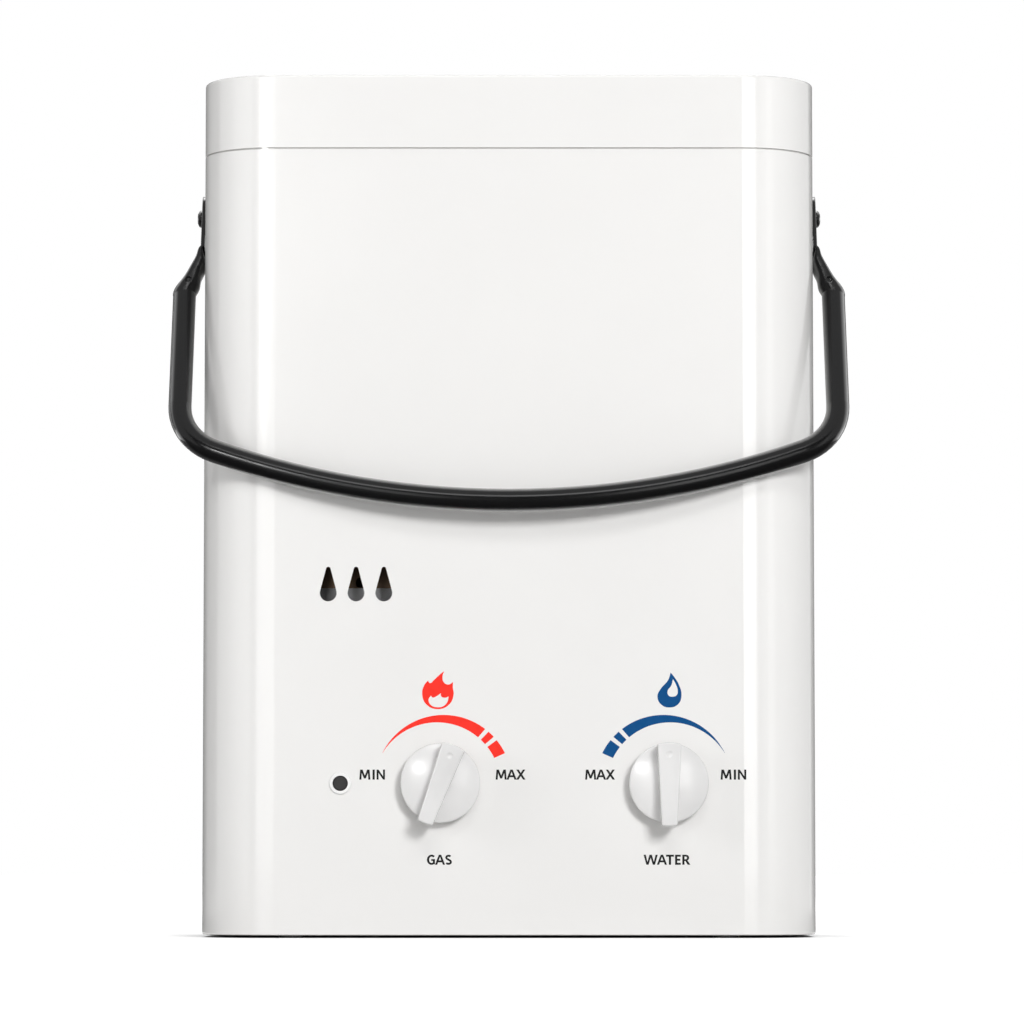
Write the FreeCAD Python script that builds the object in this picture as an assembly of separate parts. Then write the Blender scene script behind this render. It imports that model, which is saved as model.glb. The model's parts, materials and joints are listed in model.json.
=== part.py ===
import FreeCAD, Part
import math
import os

# Portable propane water heater for camping: a painted steel case with a carrying bail, two control
# knobs, and inside it a gas train, a copper heat exchanger, a water train and a battery igniter.
#
# Millimetres. X runs to the right, Y into the heater and Z up. Everything is drawn with the front
# panel's face at Y = 0 and the floor at Z = 0. `save` then moves it along Y, so that the origin
# lies on the floor under the middle of the overall box.

V = FreeCAD.Vector
LEFT_RIGHT = (-1, 1)

# ---- fits, shared by every piece
RUNNING_FIT = 0.05        # radial clearance of a turning or sliding shaft in its bore
SLIP_FIT = 0.1            # radial clearance of a fixed pin, pipe or screw in its hole
SEAT_GAP = 0.3            # gap between sheets that lie on each other without touching
CUT_PAST = 1.0            # how far a cutting tool reaches past the face it cuts

# ---- case
CASE_WIDTH = 300.0
CASE_DEPTH = 120.0
CASE_HEIGHT = 419.6
CORNER_RADIUS = 36.5
REAR_CORNER_RADIUS = 4.0
SHEET = 1.0
CAP_SKIRT = 35.8
CAP_EDGE_RADIUS = 1.3
SEAM_GAP = 0.8
SEAM_LIP = 8.0
FOOT_HEIGHT = 1.3
RIM_FLANGE = 15.0
RIM_BEND_RADIUS = 0.8
REAR_FLANGE = 12.0
BASE_HEIGHT = 31.0        # underside of the recessed base plate
BASE_FLANGE = 8.0

# ---- teardrop sight holes in the front
SIGHT_X = -74.0
SIGHT_Z = 166.4
SIGHT_PITCH = 13.45
SIGHT_COUNT = 3
SIGHT_RADIUS = 4.07
SIGHT_TIP_RADIUS = 1.1
SIGHT_TIP_RISE = 11.6

# ---- exhaust grille in the top
EXHAUST_WIDTH = 190.0
EXHAUST_DEPTH = 52.0
EXHAUST_CORNER = 5.0
GRILLE_BORDER = 8.0
GRILLE_SHEET = 1.2
GRILLE_SLOT = (52.0, 3.6)
GRILLE_COLUMNS = 3
GRILLE_ROWS = 7
GRILLE_PITCH = (60.0, 7.0)

# ---- back plate
VENT_SLOT = (46.0, 4.0)
VENT_COLUMNS = 2
VENT_ROWS = 6
VENT_PITCH = (120.0, 12.0)
VENT_Z = 92.0
BACK_TAB_WIDTH = 200.0
BACK_TAB_SHEET = 0.8
LOW_SCREW_Z = 46.0
HIGH_SCREW_DROP = 56.4      # top screws, below the top of the case
CAP_SCREW_SPREAD = 160.0
BASE_SCREW_SPREAD = 200.0

# ---- wall hanger on the back
HANGER_DROP = 76.4          # middle of the hanger, below the top of the case
HANGER_WIDTH = 46.0
HANGER_HEIGHT = 44.0
HANGER_STAND_OFF = 8.0
HANGER_SHEET = 1.4
HANGER_FOOT = 16.0
KEYHOLE_RADIUS = 6.0
KEYHOLE_SLOT = 6.0
KEYHOLE_RISE = 14.0
KEYHOLE_DROP = 7.0

# ---- small screws with domed heads
SCREW_RADIUS = 1.9
SCREW_HEAD_RADIUS = 3.6
SCREW_HEAD_HEIGHT = 1.8
SCREW_LENGTH = 8.0

# ---- feet
FOOT_RADIUS = 6.0
FOOT_STEM_RADIUS = 2.5
FOOT_BARB_RADIUS = 3.2
FOOT_BARB_HEIGHT = 2.0
FRONT_FOOT_SPREAD = 210.0
REAR_FOOT_DEPTH = 104.0

# ---- carrying bail
PIVOT_DROP = 63.2           # bail's pivots, below the top of the case
PIVOT_DEPTH = 60.0
TUBE_RADIUS = 5.65
BAIL_REACH = 164.0        # pivot to the middle of the grip's centre line
BAIL_SIDE_GAP = 4.65       # between the arm's tube and the side of the case
BAIL_CORNER_RADIUS = 27.8
BAIL_GRIP_RADIUS = 380.0
BAIL_PANEL_GAP = 0.5      # the hanging bail comes this near to the front cover
STRIP_THICKNESS = 2.0
STRIP_EDGE_RADIUS = 0.6
STRIP_HALF_WIDTH = 8.6
STRIP_END = 3.3           # centre of the strip's round end, past the pivot
JOGGLE_START = 22.0
JOGGLE_END = 45.0
JOGGLE_SQUARENESS = 4.5
JOGGLE_INSET = 0.04       # the joggle starts this much slimmer than the strip
JOGGLE_SWELL = 0.15       # and ends this much fatter than the tube
JOGGLE_ROOT = (2.5, 0.4)  # its end runs this far into the tube, and this far below the tube's skin
# the joggle's stations: the share of its length, then of its outer and inner faces' way from strip to tube
JOGGLE_STATIONS = (
    (0.0, 0.0, 0.0), (0.2, 0.18, 0.02), (0.4, 0.36, 0.12), (0.55, 0.5, 0.4),
    (0.7, 0.67, 0.52), (0.85, 0.88, 0.64), (1.0, 1.0, 1.0),
)
CRIMP_RADIUS = 2.2
CRIMP_DEPTH = 1.0
CRIMP_STATION = 0.8
PIVOT_SCREW_RADIUS = 2.5
PIVOT_HEAD_RADIUS = 4.35
PIVOT_HEAD_HEIGHT = 2.4
PIVOT_HEAD_GAP = 0.15
WASHER_THICKNESS = 0.5
WASHER_GAP = 0.2
WASHER_RADIUS = 8.0
PIVOT_NUT_RADIUS = 5.5
PIVOT_NUT_HEIGHT = 5.0
PIVOT_SCREW_TAIL = 2.0

# ---- knobs
KNOB_Z = 74.5
GAS_KNOB_X = -33.0
WATER_KNOB_X = 77.0
GAS_KNOB_TURN = 20.4      # degrees clockwise from upright, seen from the front
KNOB_RADIUS = 19.25
KNOB_GAP = 1.5
KNOB_SKIRT = 7.0
KNOB_DOME = 3.4
KNOB_PROUD = 20.0
KNOB_WALL = 2.2
KNOB_DRAFT = 0.7
KNOB_EDGE_RADIUS = 1.0
GRIP_POINTER_WIDTH = 11.6
GRIP_TAIL_WIDTH = 7.5
GRIP_OVERHANG = 1.6
GRIP_FILLET = 0.9
DIMPLE_RADIUS = 1.65
DIMPLE_DEPTH = 0.5
DIMPLE_RISE = 13.5
HUB_RADIUS = 6.0
SPINDLE_RADIUS = 3.0
SPINDLE_FLAT = 1.9        # flat of the D-shaped spindle, from its axis
SPINDLE_IN_KNOB = 9.0
SPINDLE_IN_VALVE = 13.0
PANEL_HOLE_RADIUS = 5.0

# ---- push button
BUTTON_X = -81.4
BUTTON_Z = 74.4
BUTTON_RADIUS = 3.7
BUTTON_PROUD = 0.6
BUTTON_LENGTH = 4.8
BUTTON_TRAVEL = 1.5
BEZEL_RADIUS = 5.45
BEZEL_PROUD = 1.0
BEZEL_WALL = 1.0
BEZEL_LENGTH = 6.2
SWITCH_SIZE = 15.0
SWITCH_LENGTH = 14.0
SWITCH_TERMINAL = 4.0

# ---- gas valve
GAS_BODY_HALF_WIDTH = 28.0
GAS_BODY_FRONT = 8.0
GAS_BODY_BACK = 56.0
GAS_BODY_BOTTOM = 50.0
GAS_BODY_TOP = 98.0
BOSS_RADIUS = 8.0
GAS_BOSS_HEIGHT = 4.0
COVER_PLATE = 3.0
COVER_PLATE_INSET = 4.0
SOLENOID_RADIUS = 12.0
SOLENOID_LENGTH = 28.0
SOLENOID_DEPTH = 37.0
SOLENOID_Z = 65.0

# ---- hose fittings under the base plate
FITTING_SETBACK = 1.0      # fittings' axes, behind the diaphragm's
GAS_THREAD_RADIUS = 7.94
GAS_THREAD_LENGTH = 16.0
GAS_BORE_RADIUS = 4.0
GAS_TAIL_RADIUS = 7.5
HOT_X = -118.0
HOT_THREAD_RADIUS = 10.4
HOT_THREAD_LENGTH = 14.0
HOT_BORE_RADIUS = 6.5
HOT_TAIL_RADIUS = 8.5
COLD_X = 94.0
COLD_THREAD_RADIUS = 13.3
COLD_THREAD_LENGTH = 14.0
COLD_BORE_RADIUS = 8.5
COLD_TAIL_RADIUS = 10.0
HEX_HEIGHT = 6.0
HEX_MARGIN = 2.6          # hexagon's inscribed radius over the thread's
LOCK_NUT_HEIGHT = 5.0
LOCK_NUT_MARGIN = 3.5

# ---- water valve
WATER_BODY_LEFT = 60.0
WATER_BODY_RIGHT = 112.0
WATER_BODY_AHEAD = 15.0     # water valve's front, ahead of the diaphragm's axis
WATER_BODY_BEHIND = 19.0
WATER_BODY_BOTTOM = 54.0
WATER_BODY_TOP = 96.0
WATER_BOSS_HEIGHT = 6.0
OUTLET_BOSS_HEIGHT = 8.0
HOUSING_RADIUS = 28.0
HOUSING_REAR_GAP = 4.6      # between the diaphragm housing and the battery holder
HOUSING_THICKNESS = 14.0
DIAPHRAGM_THICKNESS = 1.6
DIAPHRAGM_MARGIN = 0.8
DOME_FLANGE = 6.4
DOME_LENGTH = 8.0
DOME_RADIUS = 15.0
ROD_BOSS_RADIUS = 6.0
ROD_BOSS_HEIGHT = 6.0
VALVE_SCREW_CIRCLE = 24.0
VALVE_SCREW_COUNT = 6
VALVE_SCREW_RADIUS = 1.5
VALVE_SCREW_HEAD = 2.8
VALVE_SCREW_HEAD_HEIGHT = 2.0
DRAIN_X = 70.0
DRAIN_RADIUS = 4.0
DRAIN_HEAD_RADIUS = 5.5
DRAIN_HEAD_HEIGHT = 6.0
DRAIN_HEAD_DROP = 3.0

# ---- push rod between the valves
ROD_RADIUS = 2.5
ROD_TRAVEL = 4.0
ROD_IN_GAS_VALVE = 8.0
ROD_COLLAR_RADIUS = 6.0
ROD_COLLAR_WIDTH = 2.5
ROD_COLLAR_X = 13.0
GAS_ROD_BOSS = 6.0
MICROSWITCH = (20.0, 11.0, 14.0)
MICROSWITCH_X = 3.0
MICROSWITCH_LEVER_GAP = 0.6
BRACKET_SHEET = 1.2

# ---- burner
BOX_HALF_WIDTH = 99.2
BOX_FRONT = 22.8
BOX_REAR_GAP = 17.8         # room for the coil, behind the burner box
BOX_BOTTOM = 118.0
BOX_TOP = 170.0
BOX_SHEET = 0.8
AIR_SLOT_HALF_WIDTH = 92.0
AIR_SLOT_Z = (122.0, 140.0)
LEDGE_HEIGHT = 3.4
LEDGE_WIDTH = 8.0
BAR_COUNT = 8
BAR_PITCH = 23.0
BAR_END_GAP = 6.2
BAR_TUBE_RADIUS = 6.5
BAR_WEB = 4.0
BAR_HEAD_WIDTH = 12.0
BAR_HEAD_HEIGHT = 11.0
BAR_HEIGHT = 36.0
BAR_PORTS = 7
BAR_PORT_WIDTH = 2.0
BAR_PORT_DEPTH = 3.0
VENTURI_RADIUS = 5.0
VENTURI_DEPTH = 18.0
MANIFOLD_RADIUS = 6.0
MANIFOLD_DEPTH = 14.0
MANIFOLD_PAST_BAR = 9.5    # the cross pipe ends this far past the outermost bar's axis
MANIFOLD_TAB = (6.0, 12.0)
INJECTOR_RADIUS = 3.5
INJECTOR_LENGTH = 5.0
INJECTOR_BORE = 0.9
ELECTRODE_BARS = (3, 2)     # the bars beside the electrodes, counted from the right
ELECTRODE_ASIDE = (6.5, 7.5)
ELECTRODE_Z = 162.0
CERAMIC_RADIUS = 3.2
CERAMIC_LENGTH = 18.0
CERAMIC_INSIDE = 6.0
PIN_RADIUS = 1.0
PIN_PAST = 12.0
PIN_TERMINAL = 4.0
HOOK_LENGTH = 8.0

# ---- heat exchanger
CHAMBER_GAP = 0.4
CHAMBER_OVERLAP = 4.0     # the chamber's lower rim stands inside the burner box
CHAMBER_TOP = 300.0
CHAMBER_SHEET = 0.8
CHAMBER_CORNER = 5.0
PEEP_X = -72.2
PEEP_Z = 172.6
PEEP_RADIUS = 2.8
TUBE_LEVEL = 281.0
TUBE_PITCH = 16.0
TUBE_COUNT = 3
EXCHANGER_TUBE_RADIUS = 5.5
TUBE_END = 105.0          # straight run of the tubes, from the middle
FIN_BLOCK_HEIGHT = 34.0
FIN_COUNT = 19
FIN_SHEET = 1.6
PIPE_RADIUS = 5.0
COIL_LEVEL = 212.0
COIL_SEAM = 0.3           # solder seam between the coil and the chamber
COLD_RISER_SETBACK = 5.0    # cold riser's axis, behind the diaphragm's
RETURN_RISER_X = 117.0
HOOD_DROP = 8.4             # hood's mouth, below the top of the case
HOOD_RIM = 5.0
HOOD_INSET = (5.0, 9.0)
CUTOUT_RADIUS = 8.0
CUTOUT_HEIGHT = 7.0
CUTOUT_Z = 245.0
STAY_WIDTH = 20.0
STAY_X = 70.0
STAY_FLANGE = 12.0
STAY_Z = (140.0, 290.0)

# ---- electrics
BATTERY_X = 22.0
BATTERY_REAR_GAP = 3.0
CELL_RADIUS = 16.6
CELL_LENGTH = 58.5
CELL_NUB_RADIUS = 4.5
CELL_NUB_HEIGHT = 1.8
CELL_CLEARANCE = 0.6
BATTERY_WALL = 2.0
CONTACT_HEIGHT = 4.5
CONTACT_SHEET = 0.6
CONTACT_HALF_WIDTH = 8.0
CONTACT_CONE_RADIUS = 7.0
DOOR_THICKNESS = 2.0
DOOR_MARGIN = 2.5
DOOR_GAP = 0.3
DOOR_TRAVEL = 38.0
DOOR_RIB_COUNT = 3
DOOR_RIB = 0.6
DOOR_RIB_PITCH = 4.0
DOOR_RIB_SETBACK = 8.0
DOOR_RIB_HALF_LENGTH = 12.0
DOOR_RIB_HALF_WIDTH = 0.8
RAIL_LIP = 1.6
IGNITER_X = 103.0
IGNITER_SIZE = (58.0, 30.0, 46.0)
IGNITER_REAR_GAP = 9.0
IGNITER_PORT = (4.0, 7.0)     # radius and height of the lead's socket
IGNITER_EDGE_RADIUS = 2.0

# ---- derived places
HALF_WIDTH = CASE_WIDTH / 2
BACK_INNER = CASE_DEPTH - SHEET
CAP_BOTTOM = CASE_HEIGHT - CAP_SKIRT
COVER_TOP = CAP_BOTTOM - SEAM_GAP
BASE_TOP = BASE_HEIGHT + SHEET
REAR_MOST = CASE_DEPTH + HANGER_STAND_OFF
HIGH_SCREW_Z = CASE_HEIGHT - HIGH_SCREW_DROP
REAR_SCREW_Z = (LOW_SCREW_Z, (LOW_SCREW_Z + HIGH_SCREW_Z) / 2, HIGH_SCREW_Z)
HANGER_Z = CASE_HEIGHT - HANGER_DROP
PIVOT_Z = CASE_HEIGHT - PIVOT_DROP
BAIL_HALF_SPAN = HALF_WIDTH + BAIL_SIDE_GAP + TUBE_RADIUS
BOX_DEPTH = BACK_INNER - BOX_REAR_GAP - BOX_FRONT
BAR_LENGTH = BOX_DEPTH - 2 * BAR_END_GAP
HOOD_TOP = CASE_HEIGHT - HOOD_DROP
CHAMBER_HALF_WIDTH = BOX_HALF_WIDTH - BOX_SHEET - CHAMBER_GAP
CHAMBER_FRONT = BOX_FRONT + BOX_SHEET + CHAMBER_GAP
BOX_BACK = BOX_FRONT + BOX_DEPTH
CHAMBER_BACK = BOX_BACK - BOX_SHEET - CHAMBER_GAP
CHAMBER_BOTTOM = BOX_TOP - CHAMBER_OVERLAP
TUBE_ROW = (TUBE_COUNT - 1) * TUBE_PITCH
TUBE_FRONT = (CHAMBER_FRONT + CHAMBER_BACK - TUBE_ROW) / 2
TUBE_BACK = TUBE_FRONT + TUBE_ROW
COIL_STAND = PIPE_RADIUS + COIL_SEAM
PIPE_BEND = CHAMBER_CORNER + COIL_STAND
RISER_X = BOX_HALF_WIDTH + COIL_STAND
HOUSING_LEFT = WATER_BODY_LEFT - HOUSING_THICKNESS
COVER_RIGHT = HOUSING_LEFT - DIAPHRAGM_THICKNESS
GAS_BODY_RIGHT = GAS_KNOB_X + GAS_BODY_HALF_WIDTH
GAS_BODY_LEFT = GAS_KNOB_X - GAS_BODY_HALF_WIDTH
BATTERY_HALF = (2 * CELL_RADIUS + CELL_CLEARANCE + BATTERY_WALL, CELL_RADIUS + CELL_CLEARANCE + BATTERY_WALL)
BATTERY_DEPTH = BACK_INNER - BATTERY_REAR_GAP - BATTERY_HALF[1]
HOUSING_DEPTH = BATTERY_DEPTH - BATTERY_HALF[1] - HOUSING_REAR_GAP - HOUSING_RADIUS
WATER_BODY_FRONT = HOUSING_DEPTH - WATER_BODY_AHEAD
WATER_BODY_BACK = HOUSING_DEPTH + WATER_BODY_BEHIND
FITTING_DEPTH = HOUSING_DEPTH + FITTING_SETBACK
COLD_RISER_DEPTH = HOUSING_DEPTH + COLD_RISER_SETBACK
DOOR_TOP = BASE_HEIGHT - DOOR_GAP
DOOR_BOTTOM = DOOR_TOP - DOOR_THICKNESS
DOOR_HALF_WIDTH = BATTERY_HALF[0] + DOOR_MARGIN


def box(x0, x1, y0, y1, z0, z1):
    """A block between two corners."""
    return Part.makeBox(x1 - x0, y1 - y0, z1 - z0, V(x0, y0, z0))


def rod(radius, start, end):
    """A round bar from one point to another."""
    along = V(*end) - V(*start)
    return Part.makeCylinder(radius, along.Length, V(*start), along)


def turned(profile, base, axis):
    """A solid turned from (radius, height) points, closed along the axis."""
    points = [V(radius, 0, height) for radius, height in profile]
    points = [V(0, 0, profile[0][1])] + points + [V(0, 0, profile[-1][1])]
    kept = [points[0]]
    for point in points[1:]:
        if point.distanceToPoint(kept[-1]) > 1e-6:
            kept.append(point)
    face = Part.Face(Part.makePolygon(kept + [kept[0]]))
    solid = face.revolve(V(0, 0, 0), V(0, 0, 1), 360)
    turn = FreeCAD.Rotation(V(0, 0, 1), V(*axis))
    solid.Placement = FreeCAD.Placement(V(*base), turn)
    return solid


def hexagon(inscribed, base, height):
    """An upright hexagonal prism."""
    around = inscribed / math.cos(math.pi / 6)
    corners = []
    for k in range(7):
        angle = k * math.pi / 3
        corners.append(V(base[0] + around * math.cos(angle), base[1] + around * math.sin(angle), base[2]))
    return Part.Face(Part.makePolygon(corners)).extrude(V(0, 0, height))


def plan_outline(inset, front_radius, rear_radius, back, z):
    """The case's outline in plan, drawn inwards by `inset`, as a closed wire at height z."""
    right = HALF_WIDTH - inset
    front = inset
    r = front_radius - inset
    q = max(rear_radius - inset, 0.0)
    s = math.sqrt(0.5)
    edges = [
        Part.LineSegment(V(r - right, front, z), V(right - r, front, z)).toShape(),
        Part.Arc(
            V(right - r, front, z),
            V(right - r + r * s, front + r - r * s, z),
            V(right, front + r, z),
        ).toShape(),
    ]
    if q > 0:
        edges += [
            Part.LineSegment(V(right, front + r, z), V(right, back - q, z)).toShape(),
            Part.Arc(
                V(right, back - q, z),
                V(right - q + q * s, back - q + q * s, z),
                V(right - q, back, z),
            ).toShape(),
            Part.LineSegment(V(right - q, back, z), V(q - right, back, z)).toShape(),
            Part.Arc(
                V(q - right, back, z),
                V(q - right - q * s, back - q + q * s, z),
                V(-right, back - q, z),
            ).toShape(),
            Part.LineSegment(V(-right, back - q, z), V(-right, front + r, z)).toShape(),
        ]
    else:
        edges += [
            Part.LineSegment(V(right, front + r, z), V(right, back, z)).toShape(),
            Part.LineSegment(V(right, back, z), V(-right, back, z)).toShape(),
            Part.LineSegment(V(-right, back, z), V(-right, front + r, z)).toShape(),
        ]
    edges.append(
        Part.Arc(
            V(-right, front + r, z),
            V(r - right - r * s, front + r - r * s, z),
            V(r - right, front, z),
        ).toShape()
    )
    return Part.Wire(edges)


def plan_prism(inset, z0, z1, back, rear_radius=0.0):
    """A prism of the case's plan outline between two heights."""
    wire = plan_outline(inset, CORNER_RADIUS, rear_radius, back, z0)
    return Part.Face(wire).extrude(V(0, 0, z1 - z0))


def wrapped_sheet(inset, thickness, z0, z1, back):
    """A sheet wrapped round the front and both sides, open at the back."""
    outer = plan_prism(inset, z0, z1, back)
    inner = plan_prism(inset + thickness, z0 - CUT_PAST, z1 + CUT_PAST, back + CUT_PAST)
    return outer.cut(inner)


def slot_wire(length, width, centre, along, across):
    """A round-ended slot's closed wire about a centre, its length along one direction."""
    c, a, b = V(*centre), V(*along), V(*across)
    half = length / 2 - width / 2
    r = width / 2
    p1, p2 = c + a * half + b * -r, c + a * half + b * r
    p3, p4 = c + a * -half + b * r, c + a * -half + b * -r
    return Part.Wire([
        Part.Arc(p1, c + a * (half + r), p2).toShape(),
        Part.LineSegment(p2, p3).toShape(),
        Part.Arc(p3, c + a * -(half + r), p4).toShape(),
        Part.LineSegment(p4, p1).toShape(),
    ])


def slot_grid(slot, pitch, columns, rows, centre, along, across, through):
    """Cutters for a grid of round-ended slots."""
    cutters = []
    for i in range(columns):
        for j in range(rows):
            shift_a = (i - (columns - 1) / 2) * pitch[0]
            shift_b = (j - (rows - 1) / 2) * pitch[1]
            place = V(*centre) + V(*along) * shift_a + V(*across) * shift_b
            wire = slot_wire(slot[0], slot[1], tuple(place), along, across)
            cutters.append(Part.Face(wire).extrude(V(*through)))
    return cutters


def screw(point, inward, length=SCREW_LENGTH):
    """A domed screw with a cross recess. Its head stands out of `point`, its shank runs inward."""
    r, h = SCREW_HEAD_RADIUS, SCREW_HEAD_HEIGHT
    profile = [(r, 0), (r, h * 0.35), (r * 0.82, h * 0.78), (r * 0.5, h)]
    out = V(*inward) * -1
    head = turned(profile, point, tuple(out))
    tail = V(*point) + V(*inward) * length
    solid = head.fuse(rod(SCREW_RADIUS, point, tuple(tail)))
    return solid.cut(cross_recess(point, out, r, h)).removeSplitter()


def cross_recess(point, out, head_radius, head_height):
    """The cutter of a cross recess in a head that stands `head_height` out of `point`."""
    bar = head_radius * 0.55
    half = head_radius * 0.13
    deep = head_height * 0.45
    first = box(-bar, bar, -half, half, head_height - deep, head_height + CUT_PAST)
    second = box(-half, half, -bar, bar, head_height - deep, head_height + CUT_PAST)
    cross = first.fuse(second)
    turn = FreeCAD.Rotation(V(0, 0, 1), out)
    cross.Placement = FreeCAD.Placement(V(*point), turn)
    return cross


def pipe(points, bend, radius):
    """A round pipe through `points`, with straight runs joined by tangent arcs."""
    corners = [V(*p) for p in points]
    edges = []
    at = corners[0]
    for before, corner, after in zip(corners, corners[1:], corners[2:]):
        back = (before - corner).normalize()
        on = (after - corner).normalize()
        turn = math.pi - back.getAngle(on)
        reach = bend * math.tan(turn / 2)
        start = corner + back * reach
        end = corner + on * reach
        middle_dir = (back + on).normalize()
        middle = corner + middle_dir * (bend / math.cos(turn / 2) - bend)
        if at.distanceToPoint(start) > 1e-6:
            edges.append(Part.LineSegment(at, start).toShape())
        edges.append(Part.Arc(start, middle, end).toShape())
        at = end
    if at.distanceToPoint(corners[-1]) > 1e-6:
        edges.append(Part.LineSegment(at, corners[-1]).toShape())
    path = Part.Wire(edges)
    ring = Part.Wire(Part.makeCircle(radius, corners[0], corners[1] - corners[0]))
    return path.makePipeShell([ring], True, False, 0)


def save(name, *solids):
    """Moves a node's solids into the heater's frame and writes its STEP file."""
    shape = solids[0] if len(solids) == 1 else Part.makeCompound(list(solids))
    shape = shape.copy()
    shape.translate(V(0, origin_shift(), 0))
    for solid in shape.Solids:
        if not solid.isValid() or solid.Volume <= 0:
            raise ValueError(name + " holds a broken solid")
    shape.exportStep("parts/" + name + ".step")


# ---- casing

def foot_places():
    places = []
    for side in LEFT_RIGHT:
        places.append((side * FRONT_FOOT_SPREAD / 2, SHEET + RIM_FLANGE / 2))
        places.append((side * (HALF_WIDTH - SHEET - RIM_FLANGE / 2), REAR_FOOT_DEPTH))
    return places


def teardrop(x):
    """The cutter of one sight hole: two circles joined by their tangents."""
    rise = SIGHT_TIP_RISE
    lean = math.asin((SIGHT_RADIUS - SIGHT_TIP_RADIUS) / rise)
    c, s = math.cos(lean), math.sin(lean)
    big, tip = V(x, -CUT_PAST, SIGHT_Z), V(x, -CUT_PAST, SIGHT_Z + rise)
    a = big + V(SIGHT_RADIUS * c, 0, SIGHT_RADIUS * s)
    b = tip + V(SIGHT_TIP_RADIUS * c, 0, SIGHT_TIP_RADIUS * s)
    d = tip + V(-SIGHT_TIP_RADIUS * c, 0, SIGHT_TIP_RADIUS * s)
    e = big + V(-SIGHT_RADIUS * c, 0, SIGHT_RADIUS * s)
    wire = Part.Wire([
        Part.LineSegment(a, b).toShape(),
        Part.Arc(b, tip + V(0, 0, SIGHT_TIP_RADIUS), d).toShape(),
        Part.LineSegment(d, e).toShape(),
        Part.Arc(e, big + V(0, 0, -SIGHT_RADIUS), a).toShape(),
    ])
    return Part.Face(wire).extrude(V(0, SHEET + 2 * CUT_PAST, 0))


def front_cover():
    """The wrap-around cover, with its rim flange, rear flanges and the lip inside the cap."""
    wall = wrapped_sheet(0, SHEET, FOOT_HEIGHT, COVER_TOP, BACK_INNER)
    outer = [e for e in wall.Edges if is_outer_rim(e)]
    wall = wall.makeFillet(RIM_BEND_RADIUS, outer)
    rim = wrapped_sheet(SHEET / 2, RIM_FLANGE + SHEET / 2, FOOT_HEIGHT, FOOT_HEIGHT + SHEET, BACK_INNER)
    rim = rim.common(plan_prism(RIM_BEND_RADIUS, 0, BASE_HEIGHT, BACK_INNER))
    low_lip = wrapped_sheet(SHEET / 2, 1.5 * SHEET, COVER_TOP - SEAM_LIP, COVER_TOP, BACK_INNER - 2 * SHEET)
    high_lip = wrapped_sheet(
        SHEET + SEAT_GAP, SHEET - SEAT_GAP, COVER_TOP - SHEET, COVER_TOP + SEAM_LIP, BACK_INNER - 2 * SHEET
    )
    cover = wall.multiFuse([rim, low_lip, high_lip])
    for side in LEFT_RIGHT:
        edge = side * (HALF_WIDTH - SHEET / 2)
        inner = side * (HALF_WIDTH - SHEET - REAR_FLANGE)
        flange = box(min(edge, inner), max(edge, inner), BACK_INNER - SHEET, BACK_INNER, FOOT_HEIGHT, COVER_TOP)
        cover = cover.fuse(flange)
    cutters = []
    for k in range(SIGHT_COUNT):
        cutters.append(teardrop(SIGHT_X + (k - (SIGHT_COUNT - 1) / 2) * SIGHT_PITCH))
    for x in (GAS_KNOB_X, WATER_KNOB_X):
        cutters.append(rod(PANEL_HOLE_RADIUS, (x, -CUT_PAST, KNOB_Z), (x, SHEET + CUT_PAST, KNOB_Z)))
    cutters.append(rod(
        BUTTON_RADIUS + BEZEL_WALL + SLIP_FIT,
        (BUTTON_X, -CUT_PAST, BUTTON_Z),
        (BUTTON_X, SHEET + CUT_PAST, BUTTON_Z),
    ))
    for side in LEFT_RIGHT:
        cutters.append(rod(
            PIVOT_SCREW_RADIUS + SLIP_FIT,
            (side * (HALF_WIDTH + CUT_PAST), PIVOT_DEPTH, PIVOT_Z),
            (side * (HALF_WIDTH - SHEET - CUT_PAST), PIVOT_DEPTH, PIVOT_Z),
        ))
        for z in REAR_SCREW_Z:
            cutters.append(rear_screw_hole(side * rear_screw_x(), z, BACK_INNER - SHEET))
    for x, y in foot_places():
        hole = rod(FOOT_STEM_RADIUS + SLIP_FIT, (x, y, 0), (x, y, FOOT_HEIGHT + SHEET + CUT_PAST))
        cutters.append(hole)
    return cover.cut(cutters).removeSplitter()


def is_outer_rim(edge):
    """True for the outer edges round the cover's bottom."""
    b = edge.BoundBox
    flat = b.ZMax < FOOT_HEIGHT + 0.01
    middle = edge.valueAt((edge.FirstParameter + edge.LastParameter) / 2)
    on_front = middle.y < 0.01
    on_side = abs(abs(middle.x) - HALF_WIDTH) < 0.01
    corner_y = middle.y - CORNER_RADIUS
    corner_x = abs(middle.x) - (HALF_WIDTH - CORNER_RADIUS)
    on_corner = abs(math.hypot(corner_x, corner_y) - CORNER_RADIUS) < 0.01 and corner_y < 0 < corner_x
    return flat and (on_front or on_side or on_corner)


def rear_screw_x():
    return HALF_WIDTH - SHEET - REAR_FLANGE / 2


def rear_screw_hole(x, z, front):
    return rod(SCREW_RADIUS + SLIP_FIT, (x, front - CUT_PAST, z), (x, REAR_MOST, z))


def cap_screw_z():
    return CAP_BOTTOM + SEAM_LIP / 2 + SEAM_GAP


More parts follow.
